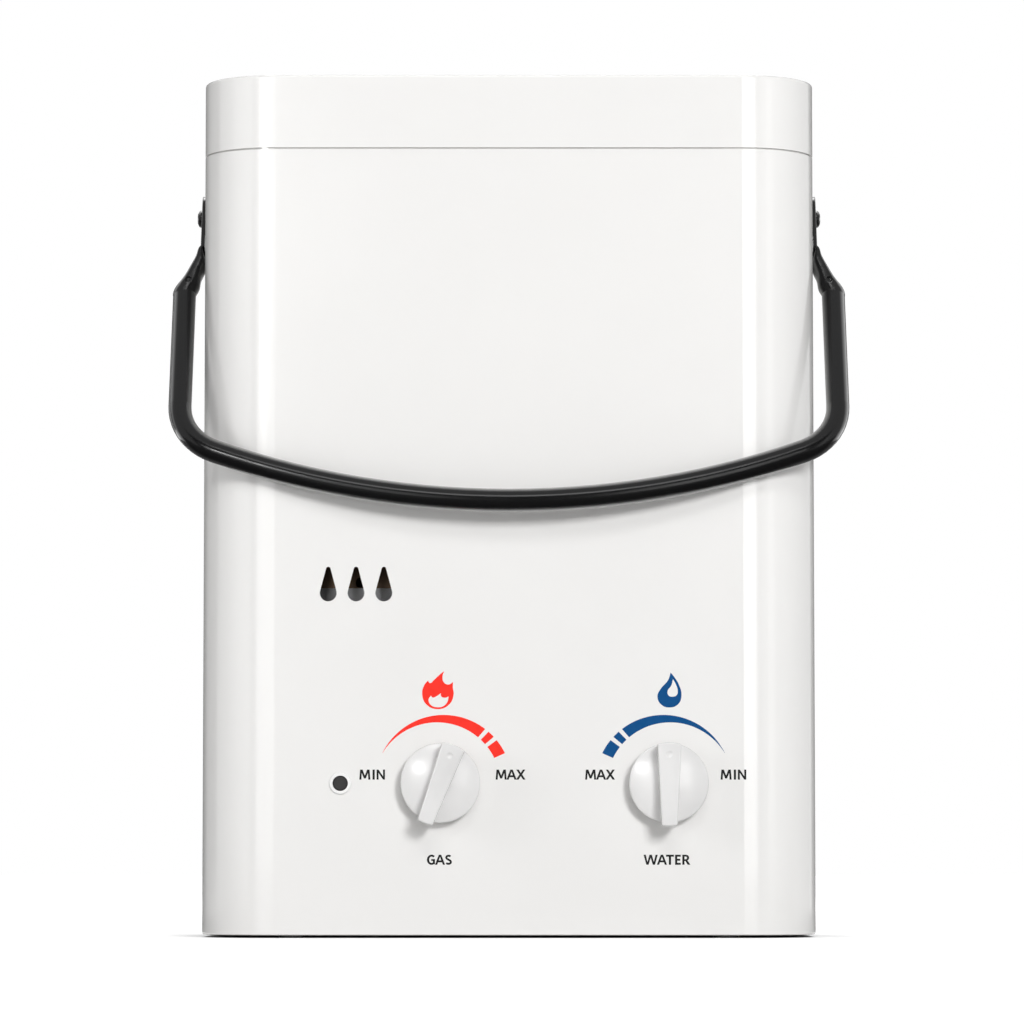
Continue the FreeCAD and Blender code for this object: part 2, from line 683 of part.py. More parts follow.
def top_cap():
    """The cap: a drawn lid with a skirt all round and the exhaust opening in its top."""
    shell = plan_prism(0, CAP_BOTTOM, CASE_HEIGHT, CASE_DEPTH, REAR_CORNER_RADIUS)
    top = [e for e in shell.Edges if e.BoundBox.ZMin > CASE_HEIGHT - 0.01]
    shell = shell.makeFillet(CAP_EDGE_RADIUS, top)
    inner = plan_prism(SHEET, CAP_BOTTOM - CUT_PAST, CASE_HEIGHT - SHEET, BACK_INNER, REAR_CORNER_RADIUS)
    shell = shell.cut(inner)
    opening = exhaust_prism(0, CASE_HEIGHT - SHEET - CUT_PAST, CASE_HEIGHT + CUT_PAST)
    holes = [rear_screw_hole(side * CAP_SCREW_SPREAD / 2, cap_screw_z(), BACK_INNER) for side in LEFT_RIGHT]
    return shell.cut([opening] + holes).removeSplitter()


def exhaust_prism(margin, z0, z1):
    """A round-cornered block over the exhaust opening, larger by `margin` on each side."""
    half_x = EXHAUST_WIDTH / 2 + margin
    half_y = EXHAUST_DEPTH / 2 + margin
    block = box(-half_x, half_x, CASE_DEPTH / 2 - half_y, CASE_DEPTH / 2 + half_y, z0, z1)
    upright = [e for e in block.Edges if e.BoundBox.ZLength > z1 - z0 - 0.01]
    return block.makeFillet(EXHAUST_CORNER, upright)


def exhaust_grille():
    """The slotted stainless plate welded under the cap's opening, with a raised panel in it."""
    top = CASE_HEIGHT - SHEET
    plate = exhaust_prism(GRILLE_BORDER, top - GRILLE_SHEET, top)
    cutters = slot_grid(
        GRILLE_SLOT, GRILLE_PITCH, GRILLE_COLUMNS, GRILLE_ROWS,
        (0, CASE_DEPTH / 2, top - GRILLE_SHEET - CUT_PAST), (1, 0, 0), (0, 1, 0),
        (0, 0, GRILLE_SHEET + 2 * CUT_PAST),
    )
    return plate.cut(cutters)


def back_plate():
    """The flat back with its air slots, screw holes and the tab that holds the cap."""
    side = HALF_WIDTH - SHEET / 2
    plate = box(-side, side, BACK_INNER, CASE_DEPTH, FOOT_HEIGHT + SHEET / 2, COVER_TOP)
    tab_half = BACK_TAB_WIDTH / 2
    tab_front = BACK_INNER - SEAT_GAP - BACK_TAB_SHEET
    low_tab = box(-tab_half, tab_half, tab_front, BACK_INNER, COVER_TOP - SEAM_LIP, COVER_TOP)
    high_tab = box(
        -tab_half, tab_half, tab_front, BACK_INNER - SEAT_GAP, COVER_TOP - SHEET, CAP_BOTTOM + 2 * SEAM_LIP
    )
    plate = plate.multiFuse([low_tab, high_tab])
    cutters = slot_grid(
        VENT_SLOT, VENT_PITCH, VENT_COLUMNS, VENT_ROWS,
        (0, BACK_INNER - CUT_PAST, VENT_Z), (1, 0, 0), (0, 0, 1), (0, SHEET + 2 * CUT_PAST, 0),
    )
    for x, z in back_screw_places():
        cutters.append(rear_screw_hole(x, z, tab_front))
    return plate.cut(cutters).removeSplitter()


def back_screw_places():
    """All screws that pass through the back plate, as (x, z)."""
    places = []
    for side in LEFT_RIGHT:
        places += [(side * rear_screw_x(), z) for z in REAR_SCREW_Z]
        places.append((side * CAP_SCREW_SPREAD / 2, cap_screw_z()))
        places.append((side * BASE_SCREW_SPREAD / 2, base_screw_z()))
        places += [(side * hanger_screw_x(), HANGER_Z + half) for half in hanger_screw_rises()]
    return places


def base_screw_z():
    return BASE_TOP + BASE_FLANGE * 0.75


def hanger_screw_x():
    return HANGER_WIDTH / 2 + HANGER_FOOT / 2


def hanger_screw_rises():
    return (-HANGER_HEIGHT / 4, HANGER_HEIGHT / 4)


def wall_hanger():
    """A bridge of folded strip on the back, with a keyhole for a wall screw."""
    half = HANGER_WIDTH / 2
    low, high = HANGER_Z - HANGER_HEIGHT / 2, HANGER_Z + HANGER_HEIGHT / 2
    rear = CASE_DEPTH + HANGER_STAND_OFF
    bridge = box(-half, half, rear - HANGER_SHEET, rear, low, high)
    parts = []
    for side in LEFT_RIGHT:
        a, b = side * half, side * (half - HANGER_SHEET)
        parts.append(box(min(a, b), max(a, b), CASE_DEPTH, rear, low, high))
        a, b = side * (half - HANGER_SHEET), side * (half + HANGER_FOOT)
        parts.append(box(min(a, b), max(a, b), CASE_DEPTH, CASE_DEPTH + HANGER_SHEET, low, high))
    bridge = bridge.multiFuse(parts)
    front, back = rear - HANGER_SHEET - CUT_PAST, rear + CUT_PAST
    round_z = HANGER_Z - KEYHOLE_DROP
    slot_r = KEYHOLE_SLOT / 2
    cutters = [
        rod(KEYHOLE_RADIUS, (0, front, round_z), (0, back, round_z)),
        rod(slot_r, (0, front, round_z + KEYHOLE_RISE), (0, back, round_z + KEYHOLE_RISE)),
        box(-slot_r, slot_r, front, back, round_z, round_z + KEYHOLE_RISE),
    ]
    for side in LEFT_RIGHT:
        for rise in hanger_screw_rises():
            x, z = side * hanger_screw_x(), HANGER_Z + rise
            cutters.append(rod(SCREW_RADIUS + SLIP_FIT, (x, CASE_DEPTH - CUT_PAST, z), (x, rear, z)))
    return bridge.cut(cutters).removeSplitter()


def base_plate():
    """The recessed floor of the case, with the battery door's rails under it."""
    inset = SHEET + SEAT_GAP
    back = BACK_INNER - SHEET - SEAT_GAP
    plate = plan_prism(inset, BASE_HEIGHT, BASE_TOP, back)
    flange = wrapped_sheet(inset, SHEET, BASE_HEIGHT, BASE_TOP + BASE_FLANGE, back)
    half = BASE_SCREW_SPREAD / 2 + BASE_FLANGE
    rear = box(-half, half, BACK_INNER - SHEET, BACK_INNER, BASE_HEIGHT, base_screw_z() + BASE_FLANGE)
    bridge = box(-half, half, back - SHEET, BACK_INNER, BASE_HEIGHT, BASE_TOP)
    plate = plate.multiFuse([flange, rear, bridge] + door_rails())
    cutters = [
        fitting_hole(HOT_X, HOT_TAIL_RADIUS),
        fitting_hole(GAS_KNOB_X, GAS_TAIL_RADIUS),
        fitting_hole(COLD_X, COLD_TAIL_RADIUS),
        fitting_hole(DRAIN_X, DRAIN_RADIUS + SEAT_GAP),
    ]
    hx, hy = BATTERY_HALF[0] - BATTERY_WALL, BATTERY_HALF[1] - BATTERY_WALL
    cutters.append(box(
        BATTERY_X - hx, BATTERY_X + hx, BATTERY_DEPTH - hy, BATTERY_DEPTH + hy,
        BASE_HEIGHT - CUT_PAST, BASE_TOP + CUT_PAST,
    ))
    for side in LEFT_RIGHT:
        x, z = side * BASE_SCREW_SPREAD / 2, base_screw_z()
        cutters.append(rear_screw_hole(x, z, BACK_INNER - SHEET))
    return plate.cut(cutters).removeSplitter()


def fitting_hole(x, radius):
    return rod(
        radius + SLIP_FIT,
        (x, FITTING_DEPTH, BASE_HEIGHT - CUT_PAST),
        (x, FITTING_DEPTH, BASE_TOP + CUT_PAST),
    )


def door_rails():
    """Two folded rails that carry the battery door."""
    rails = []
    y0 = BATTERY_DEPTH - BATTERY_HALF[1] - DOOR_TRAVEL / 2
    y1 = BATTERY_DEPTH + BATTERY_HALF[1]
    low = DOOR_BOTTOM - DOOR_GAP - SHEET
    for side in LEFT_RIGHT:
        a = BATTERY_X + side * (DOOR_HALF_WIDTH + DOOR_GAP)
        b = a + side * SHEET
        c = a - side * RAIL_LIP
        rails.append(box(min(a, b), max(a, b), y0, y1, low, BASE_HEIGHT + SHEET / 2))
        rails.append(box(min(b, c), max(b, c), y0, y1, low, low + SHEET))
    return rails


def feet():
    solids = []
    for x, y in foot_places():
        top = FOOT_HEIGHT + SHEET
        pad = turned([(FOOT_RADIUS - 0.4, 0), (FOOT_RADIUS, 0.4), (FOOT_RADIUS, FOOT_HEIGHT)], (x, y, 0), (0, 0, 1))
        stem = rod(FOOT_STEM_RADIUS, (x, y, FOOT_HEIGHT / 2), (x, y, top))
        barb = Part.makeCone(
            FOOT_BARB_RADIUS, FOOT_STEM_RADIUS * 0.6, FOOT_BARB_HEIGHT, V(x, y, top), V(0, 0, 1)
        )
        solids.append(pad.multiFuse([stem, barb]).removeSplitter())
    return solids


# ---- carrying bail

def bail_corner():
    """The centre (x, reach) of the bail's corner arc, and how far the grip leans there."""
    x = BAIL_HALF_SPAN - BAIL_CORNER_RADIUS
    lean = math.asin(x / (BAIL_GRIP_RADIUS - BAIL_CORNER_RADIUS))
    reach = BAIL_REACH - BAIL_GRIP_RADIUS + (BAIL_GRIP_RADIUS - BAIL_CORNER_RADIUS) * math.cos(lean)
    return x, reach, lean


def bail_clearance(tilt):
    """The least gap between the case's outline in plan and the bail's tube, hung at a tilt."""
    corner_x, corner_reach, lean = bail_corner()
    least = BAIL_REACH
    steps = 60
    for k in range(2 * steps):
        if k < steps:
            angle = lean * k / steps
            x = BAIL_GRIP_RADIUS * math.sin(angle)
            reach = BAIL_REACH - BAIL_GRIP_RADIUS + BAIL_GRIP_RADIUS * math.cos(angle)
        else:
            angle = (math.pi / 2 - lean) * (2 * steps - k) / steps
            x = corner_x + BAIL_CORNER_RADIUS * math.cos(angle)
            reach = corner_reach + BAIL_CORNER_RADIUS * math.sin(angle)
        y = PIVOT_DEPTH - reach * math.sin(tilt)
        flat_half = HALF_WIDTH - CORNER_RADIUS
        if x <= flat_half:
            gap = -y
        elif y < CORNER_RADIUS:
            gap = math.hypot(x - flat_half, y - CORNER_RADIUS) - CORNER_RADIUS
        else:
            gap = x - HALF_WIDTH
        least = min(least, gap - TUBE_RADIUS)
    return least


def bail_tilt():
    """The angle from upright at which the hanging bail comes to rest by the front cover."""
    low, high = 0.0, math.pi / 2
    for _ in range(40):
        middle = (low + high) / 2
        if bail_clearance(middle) < BAIL_PANEL_GAP:
            low = middle
        else:
            high = middle
    return high


def origin_shift():
    """How far everything moves along Y, to put the origin under the middle of the overall box."""
    bail_front = BAIL_REACH * math.sin(bail_tilt()) + TUBE_RADIUS - PIVOT_DEPTH
    return (max(KNOB_PROUD, bail_front) - REAR_MOST) / 2


def joggle_half_width(t):
    return STRIP_HALF_WIDTH + t * (TUBE_RADIUS - STRIP_HALF_WIDTH)


def bail_section(inner, outer, half_y, power, reach):
    """The bail's cross-section at one arm length, a superellipse between two faces.

    It is drawn for the right arm in the bail's own frame, with the arm hanging along -Z.
    """
    middle = (outer + inner) / 2
    half_x = (outer - inner) / 2
    points = []
    steps = 16
    for k in range(steps):
        angle = 2 * math.pi * k / steps
        c, s = math.cos(angle), math.sin(angle)
        x = math.copysign(abs(c) ** (2 / power), c) * half_x
        y = math.copysign(abs(s) ** (2 / power), s) * half_y
        points.append(V(middle + x, y, -reach))
    curve = Part.BSplineCurve()
    curve.interpolate(Points=points, PeriodicFlag=True)
    return Part.Wire(curve.toShape())


def joggle():
    """The crimped stretch between the flat strip, where t = 0, and the round tube, where t = 1."""
    strip_inner = strip_inner_face()
    strip_outer = strip_inner + STRIP_THICKNESS
    tube_inner, tube_outer = BAIL_HALF_SPAN - TUBE_RADIUS, BAIL_HALF_SPAN + TUBE_RADIUS
    low = JOGGLE_START - CUT_PAST
    sections = []
    for t, outer_share, inner_share in JOGGLE_STATIONS:
        swell = t * (JOGGLE_SWELL + JOGGLE_INSET) - JOGGLE_INSET
        inner = strip_inner + inner_share * (tube_inner - strip_inner) - swell
        outer = strip_outer + outer_share * (tube_outer - strip_outer) + swell
        power = 2 + (JOGGLE_SQUARENESS - 2) * (1 - t)
        reach = low + t * (JOGGLE_END - low)
        sections.append(bail_section(inner, outer, joggle_half_width(t) + swell, power, reach))
    length, sink = JOGGLE_ROOT
    root = bail_section(tube_inner + sink, tube_outer - sink, TUBE_RADIUS - sink, 2, JOGGLE_END + length)
    return Part.makeLoft(sections + [root], True, False)


def strip_inner_face():
    return HALF_WIDTH + WASHER_THICKNESS + WASHER_GAP


def bail_strip():
    """The right arm's flat strip, with its outer rim rounded off."""
    inner = strip_inner_face()
    outer = inner + STRIP_THICKNESS
    strip = box(inner, outer, -STRIP_HALF_WIDTH, STRIP_HALF_WIDTH, -JOGGLE_START, STRIP_END)
    strip = strip.fuse(rod(STRIP_HALF_WIDTH, (inner, 0, STRIP_END), (outer, 0, STRIP_END))).removeSplitter()
    rim = [e for e in strip.Edges if e.BoundBox.XMin > outer - 0.01 and e.BoundBox.ZMax > 0.01 - JOGGLE_START]
    return strip.makeFillet(STRIP_EDGE_RADIUS, rim)


def bail_end():
    """The right arm's crimped end: the joggle and the flat strip round the pivot."""
    inner = strip_inner_face()
    hole = rod(
        PIVOT_SCREW_RADIUS + RUNNING_FIT, (inner - CUT_PAST, 0, 0), (inner + STRIP_THICKNESS + CUT_PAST, 0, 0)
    )
    end = joggle().fuse(bail_strip()).cut(hole)
    dimple_z = -(JOGGLE_START + CRIMP_STATION * (JOGGLE_END - JOGGLE_START))
    dimple_x = (inner + BAIL_HALF_SPAN + TUBE_RADIUS) / 2
    dimple_y = CRIMP_DEPTH - CRIMP_RADIUS - joggle_half_width(CRIMP_STATION)
    return end.cut(Part.makeSphere(CRIMP_RADIUS, V(dimple_x, dimple_y, dimple_z)))


def bail():
    """The bail in its hanging place: bent tube with a crimped end on each arm."""
    small = BAIL_CORNER_RADIUS
    corner_x, corner_reach, lean = bail_corner()
    corner_z = -corner_reach
    edges = []
    top = V(-BAIL_HALF_SPAN, 0, -JOGGLE_END)
    arm = V(-BAIL_HALF_SPAN, 0, corner_z)
    turn = math.pi / 2 - lean
    mid_angle = turn / 2
    corner_mid = V(-corner_x - small * math.cos(mid_angle), 0, corner_z - small * math.sin(mid_angle))
    corner_end = V(-corner_x - small * math.cos(turn), 0, corner_z - small * math.sin(turn))
    edges.append(Part.LineSegment(top, arm).toShape())
    edges.append(Part.Arc(arm, corner_mid, corner_end).toShape())
    grip_mid = V(0, 0, -BAIL_REACH)
    other_end = V(-corner_end.x, 0, corner_end.z)
    edges.append(Part.Arc(corner_end, grip_mid, other_end).toShape())
    edges.append(Part.Arc(other_end, V(-corner_mid.x, 0, corner_mid.z), V(-arm.x, 0, arm.z)).toShape())
    edges.append(Part.LineSegment(V(-arm.x, 0, arm.z), V(-top.x, 0, top.z)).toShape())
    path = Part.Wire(edges)
    ring = Part.Wire(Part.makeCircle(TUBE_RADIUS, top, V(0, 0, -1)))
    tube = path.makePipeShell([ring], True, False, 0)
    right = bail_end()
    left = right.mirror(V(0, 0, 0), V(1, 0, 0))
    whole = tube.multiFuse([right, left])
    whole.rotate(V(0, 0, 0), V(1, 0, 0), -math.degrees(bail_tilt()))
    whole.translate(V(0, PIVOT_DEPTH, PIVOT_Z))
    return whole


def bail_screws():
    solids = []
    for side in LEFT_RIGHT:
        seat = side * (strip_inner_face() + STRIP_THICKNESS + PIVOT_HEAD_GAP)
        r, h = PIVOT_HEAD_RADIUS, PIVOT_HEAD_HEIGHT
        profile = [(r, 0), (r, h * 0.3), (r * 0.85, h * 0.72), (r * 0.55, h * 0.95), (r * 0.3, h)]
        head = turned(profile, (seat, PIVOT_DEPTH, PIVOT_Z), (side, 0, 0))
        tail = side * (HALF_WIDTH - SHEET - PIVOT_NUT_HEIGHT - PIVOT_SCREW_TAIL)
        shank = rod(PIVOT_SCREW_RADIUS, (seat, PIVOT_DEPTH, PIVOT_Z), (tail, PIVOT_DEPTH, PIVOT_Z))
        cross = cross_recess((seat, PIVOT_DEPTH, PIVOT_Z), V(side, 0, 0), r, h)
        solids.append(head.fuse(shank).cut(cross).removeSplitter())
    return solids


def bail_washers():
    return [ring_on_x(side, HALF_WIDTH, WASHER_THICKNESS, WASHER_RADIUS) for side in LEFT_RIGHT]


def bail_nuts():
    inner = HALF_WIDTH - SHEET - PIVOT_NUT_HEIGHT
    return [ring_on_x(side, inner, PIVOT_NUT_HEIGHT, PIVOT_NUT_RADIUS) for side in LEFT_RIGHT]


def ring_on_x(side, start, thickness, radius):
    """A ring on the bail's pivot axis, round the pivot screw."""
    a = (side * start, PIVOT_DEPTH, PIVOT_Z)
    b = (side * (start + thickness), PIVOT_DEPTH, PIVOT_Z)
    return rod(radius, a, b).cut(rod(PIVOT_SCREW_RADIUS + SLIP_FIT, a, b))


# ---- knobs, spindles and the push button

def d_shaft(x, radius, flat, y0, y1):
    """A round shaft along Y with one flat on its upper side."""
    shaft = rod(radius, (x, y0, KNOB_Z), (x, y1, KNOB_Z))
    return shaft.cut(box(x - radius, x + radius, y0, y1, KNOB_Z + flat, KNOB_Z + radius + CUT_PAST))


def knob(x):
    """A control knob, upright: a domed dish with a tapered grip across it."""
    rear = -KNOB_GAP
    rim = rear - KNOB_SKIRT
    r = KNOB_RADIUS
    dome_r = (r * r + KNOB_DOME * KNOB_DOME) / (2 * KNOB_DOME)
    skirt = Part.makeCone(r - KNOB_DRAFT, r, KNOB_SKIRT, V(x, rear, KNOB_Z), V(0, -1, 0))
    ball = Part.makeSphere(dome_r, V(x, rim - KNOB_DOME + dome_r, KNOB_Z))
    dome = rod(r, (x, rim, KNOB_Z), (x, rim - KNOB_DOME - CUT_PAST, KNOB_Z)).common(ball)
    dish = skirt.fuse(dome).removeSplitter()
    edge = [e for e in dish.Edges if abs(e.BoundBox.YMin - rim) < 0.01 and abs(e.BoundBox.YMax - rim) < 0.01]
    dish = dish.makeFillet(KNOB_EDGE_RADIUS, edge)
    front = -KNOB_PROUD
    tail = r + GRIP_OVERHANG
    top_half, low_half = GRIP_POINTER_WIDTH / 2, GRIP_TAIL_WIDTH / 2
    spread = (top_half - low_half) / (r + tail)
    corners = [
        V(x - top_half - spread, rim, KNOB_Z + r + 1),
        V(x + top_half + spread, rim, KNOB_Z + r + 1),
        V(x + low_half, rim, KNOB_Z - tail),
        V(x - low_half, rim, KNOB_Z - tail),
    ]
    slab = Part.Face(Part.makePolygon(corners + [corners[0]])).extrude(V(0, front - rim, 0))
    reach = (r + tail) / 2
    round_z = KNOB_Z + r - reach
    grip = slab.common(rod(reach, (x, rim + CUT_PAST, round_z), (x, front - CUT_PAST, round_z)))
    edges = [e for e in grip.Edges if e.BoundBox.YMax < front + 0.01 or e.BoundBox.YLength > 5]
    grip = grip.makeFillet(GRIP_FILLET, edges)
    solid = dish.fuse(grip)
    hollow = Part.makeCone(
        r - KNOB_DRAFT - KNOB_WALL, r - KNOB_WALL, KNOB_SKIRT - KNOB_WALL, V(x, rear, KNOB_Z), V(0, -1, 0)
    )
    hub_end = rear - KNOB_SKIRT
    hollow = hollow.cut(rod(HUB_RADIUS, (x, rear, KNOB_Z), (x, hub_end, KNOB_Z)))
    bore = d_shaft(
        x, SPINDLE_RADIUS + SLIP_FIT, SPINDLE_FLAT + SLIP_FIT,
        rear - SPINDLE_IN_KNOB - SLIP_FIT, rear + CUT_PAST,
    )
    ball_r = (DIMPLE_RADIUS ** 2 + DIMPLE_DEPTH ** 2) / (2 * DIMPLE_DEPTH)
    dimple = Part.makeSphere(ball_r, V(x, front - ball_r + DIMPLE_DEPTH, KNOB_Z + DIMPLE_RISE))
    return solid.cut([hollow, bore, dimple]).removeSplitter()


def spindle(x, valve_front):
    """A knob's spindle from inside its hub to inside the valve."""
    return d_shaft(x, SPINDLE_RADIUS, SPINDLE_FLAT, -KNOB_GAP - SPINDLE_IN_KNOB, valve_front + SPINDLE_IN_VALVE)


def turn_gas(shape):
    shape.rotate(V(GAS_KNOB_X, 0, KNOB_Z), V(0, 1, 0), GAS_KNOB_TURN)
    return shape


def button_cap():
    h = BUTTON_LENGTH
    profile = [(BUTTON_RADIUS - RUNNING_FIT, 0), (BUTTON_RADIUS - RUNNING_FIT, h - 0.5), (BUTTON_RADIUS - 0.6, h)]
    return turned(profile, (BUTTON_X, BUTTON_LENGTH - BUTTON_PROUD, BUTTON_Z), (0, -1, 0))


def button_bezel():
    """The white collar round the button, with its barrel through the panel."""
    profile = [
        (BUTTON_RADIUS + BEZEL_WALL, -BEZEL_LENGTH),
        (BUTTON_RADIUS + BEZEL_WALL, 0),
        (BEZEL_RADIUS, 0),
        (BEZEL_RADIUS, BEZEL_PROUD * 0.45),
        (BEZEL_RADIUS - 0.5, BEZEL_PROUD),
    ]
    collar = turned(profile, (BUTTON_X, 0, BUTTON_Z), (0, -1, 0))
    return collar.cut(rod(
        BUTTON_RADIUS,
        (BUTTON_X, -BEZEL_PROUD - CUT_PAST, BUTTON_Z),
        (BUTTON_X, BEZEL_LENGTH + CUT_PAST, BUTTON_Z),
    ))


def switch_body():
    """The switch behind the button, with two terminals."""
    half = SWITCH_SIZE / 2
    rear = BEZEL_LENGTH + SWITCH_LENGTH
    body = box(BUTTON_X - half, BUTTON_X + half, BEZEL_LENGTH, rear, BUTTON_Z - half, BUTTON_Z + half)
    blades = []
    for side in LEFT_RIGHT:
        x = BUTTON_X + side * half / 2
        blades.append(box(x - 0.4, x + 0.4, rear, rear + SWITCH_TERMINAL, BUTTON_Z - 2.4, BUTTON_Z + 2.4))
    return body.multiFuse(blades)


# ---- gas train

def gas_valve_body():
    """The die-cast gas valve, with bosses for its spindle and for the push rod."""
    block = box(GAS_BODY_LEFT, GAS_BODY_RIGHT, GAS_BODY_FRONT, GAS_BODY_BACK, GAS_BODY_BOTTOM, GAS_BODY_TOP)
    block = block.makeFillet(3.0, [e for e in block.Edges if e.BoundBox.YLength > 5])
    front = GAS_BODY_FRONT - GAS_BOSS_HEIGHT
    boss = rod(BOSS_RADIUS, (GAS_KNOB_X, front, KNOB_Z), (GAS_KNOB_X, GAS_BODY_FRONT + 1, KNOB_Z))
    rod_boss = rod(
        ROD_BOSS_RADIUS,
        (GAS_BODY_RIGHT - 1, HOUSING_DEPTH, KNOB_Z),
        (GAS_BODY_RIGHT + GAS_ROD_BOSS, HOUSING_DEPTH, KNOB_Z),
    )
    block = block.multiFuse([boss, rod_boss])
    spindle_bore = rod(
        SPINDLE_RADIUS + RUNNING_FIT,
        (GAS_KNOB_X, front - CUT_PAST, KNOB_Z),
        (GAS_KNOB_X, front + SPINDLE_IN_VALVE + 1, KNOB_Z),
    )
    rod_bore = rod(
        ROD_RADIUS + RUNNING_FIT,
        (rod_left() - ROD_TRAVEL - 1, HOUSING_DEPTH, KNOB_Z),
        (GAS_BODY_RIGHT + GAS_ROD_BOSS + CUT_PAST, HOUSING_DEPTH, KNOB_Z),
    )
    return block.cut([spindle_bore, rod_bore]).removeSplitter()


def rod_left():
    return GAS_BODY_RIGHT + GAS_ROD_BOSS - ROD_IN_GAS_VALVE


def gas_valve_cover():
    """The cover plate on the back of the gas valve, with its four screws' heads in one piece."""
    inset = COVER_PLATE_INSET
    y0, y1 = GAS_BODY_BACK, GAS_BODY_BACK + COVER_PLATE
    plate = box(
        GAS_BODY_LEFT + inset, GAS_BODY_RIGHT - inset, y0, y1, GAS_BODY_BOTTOM + inset, GAS_BODY_TOP - inset
    )
    plate = plate.makeFillet(2.0, [e for e in plate.Edges if e.BoundBox.YLength > COVER_PLATE - 0.01])
    hub = Part.makeCone(BOSS_RADIUS + 4, BOSS_RADIUS + 2, COVER_PLATE, V(GAS_KNOB_X, y1, KNOB_Z), V(0, 1, 0))
    return plate.fuse(hub)


def solenoid():
    """The magnet valve on the gas valve's left side."""
    left = GAS_BODY_LEFT - SOLENOID_LENGTH
    can = rod(SOLENOID_RADIUS, (left, SOLENOID_DEPTH, SOLENOID_Z), (GAS_BODY_LEFT - 2, SOLENOID_DEPTH, SOLENOID_Z))
    flange = rod(
        SOLENOID_RADIUS + 2,
        (GAS_BODY_LEFT - 2, SOLENOID_DEPTH, SOLENOID_Z),
        (GAS_BODY_LEFT, SOLENOID_DEPTH, SOLENOID_Z),
    )
    return can.fuse(flange)


def hose_fitting(x, thread, length, bore, tail, tail_top):
    """A fitting in the base plate: thread and hexagon below it, tail above it."""
    y = FITTING_DEPTH
    low = BASE_HEIGHT - HEX_HEIGHT - length
    body = rod(thread, (x, y, low), (x, y, BASE_HEIGHT - HEX_HEIGHT))
    nut = hexagon(thread + HEX_MARGIN, (x, y, BASE_HEIGHT - HEX_HEIGHT), HEX_HEIGHT)
    stem = rod(tail, (x, y, BASE_HEIGHT - 1), (x, y, tail_top))
    solid = body.multiFuse([nut, stem])
    chamfer = Part.makeCone(bore + 1.2, bore, 1.2, V(x, y, low), V(0, 0, 1))
    return solid.cut([rod(bore, (x, y, low - 1), (x, y, BASE_HEIGHT + 4)), chamfer]).removeSplitter()


def fitting_nuts():
    """Lock nuts on the three fittings, above the base plate."""
    solids = []
    for x, tail in ((HOT_X, HOT_TAIL_RADIUS), (GAS_KNOB_X, GAS_TAIL_RADIUS), (COLD_X, COLD_TAIL_RADIUS)):
        nut = hexagon(tail + LOCK_NUT_MARGIN, (x, FITTING_DEPTH, BASE_TOP), LOCK_NUT_HEIGHT)
        hole = rod(
            tail + SLIP_FIT, (x, FITTING_DEPTH, BASE_TOP - 1), (x, FITTING_DEPTH, BASE_TOP + LOCK_NUT_HEIGHT + 1)
        )
        solids.append(nut.cut(hole))
    return solids


def bar_places():
    return [(k - (BAR_COUNT - 1) / 2) * BAR_PITCH for k in range(BAR_COUNT)]


def electrode_places():
    return [bar_places()[-bar] - aside for bar, aside in zip(ELECTRODE_BARS, ELECTRODE_ASIDE)]


def bar_axis_z():
    return BOX_BOTTOM + LEDGE_HEIGHT + SLIP_FIT + BAR_TUBE_RADIUS


def bar_front():
    return BOX_FRONT + (BOX_DEPTH - BAR_LENGTH) / 2


def gas_manifold():
    """The manifold: a feed pipe from the gas valve, a cross pipe and two fixing tabs."""
    y, z = MANIFOLD_DEPTH, bar_axis_z()
    half = bar_places()[-1] + MANIFOLD_PAST_BAR
    cross = rod(MANIFOLD_RADIUS, (-half, y, z), (half, y, z))
    feed = rod(MANIFOLD_RADIUS, (GAS_KNOB_X, y, GAS_BODY_TOP), (GAS_KNOB_X, y, z))
    parts = [feed]
    for side in LEFT_RIGHT:
        a = side * (half - MANIFOLD_TAB[0])
        b = side * half
        top = AIR_SLOT_Z[1] + MANIFOLD_TAB[1]
        parts.append(box(min(a, b), max(a, b), y, BOX_FRONT, z, top))
    return cross.multiFuse(parts).removeSplitter()


def injectors():
    solids = []
    start = MANIFOLD_DEPTH + MANIFOLD_RADIUS
    for x in bar_places():
        z = bar_axis_z()
        profile = [(INJECTOR_RADIUS, 0), (INJECTOR_RADIUS, INJECTOR_LENGTH * 0.5), (1.6, INJECTOR_LENGTH)]
        nozzle = turned(profile, (x, start, z), (0, 1, 0))
        bore = rod(INJECTOR_BORE, (x, start + 1, z), (x, start + INJECTOR_LENGTH + 1, z))
        solids.append(nozzle.cut(bore))
    return solids


def burner_box():
    """The galvanised frame round the burner bars, with its primary air slot and two ledges."""
    w = BOX_HALF_WIDTH
    t = BOX_SHEET
    frame = box(-w, w, BOX_FRONT, BOX_BACK, BOX_BOTTOM, BOX_TOP)
    frame = frame.cut(box(t - w, w - t, BOX_FRONT + t, BOX_BACK - t, BOX_BOTTOM - 1, BOX_TOP + 1))
    ledges = [
        box(t / 2 - w, w - t / 2, BOX_FRONT + t / 2, BOX_FRONT + LEDGE_WIDTH, BOX_BOTTOM, BOX_BOTTOM + LEDGE_HEIGHT),
        box(t / 2 - w, w - t / 2, BOX_BACK - LEDGE_WIDTH, BOX_BACK - t / 2, BOX_BOTTOM, BOX_BOTTOM + LEDGE_HEIGHT),
    ]
    frame = frame.multiFuse(ledges)
    cutters = [box(
        -AIR_SLOT_HALF_WIDTH, AIR_SLOT_HALF_WIDTH, BOX_FRONT - 1, BOX_FRONT + t + 0.01, AIR_SLOT_Z[0], AIR_SLOT_Z[1]
    )]
    for x in electrode_places():
        cutters.append(rod(
            CERAMIC_RADIUS + SLIP_FIT, (x, BOX_FRONT - 1, ELECTRODE_Z), (x, BOX_FRONT + t + 0.1, ELECTRODE_Z)
        ))
    return frame.cut(cutters).removeSplitter()


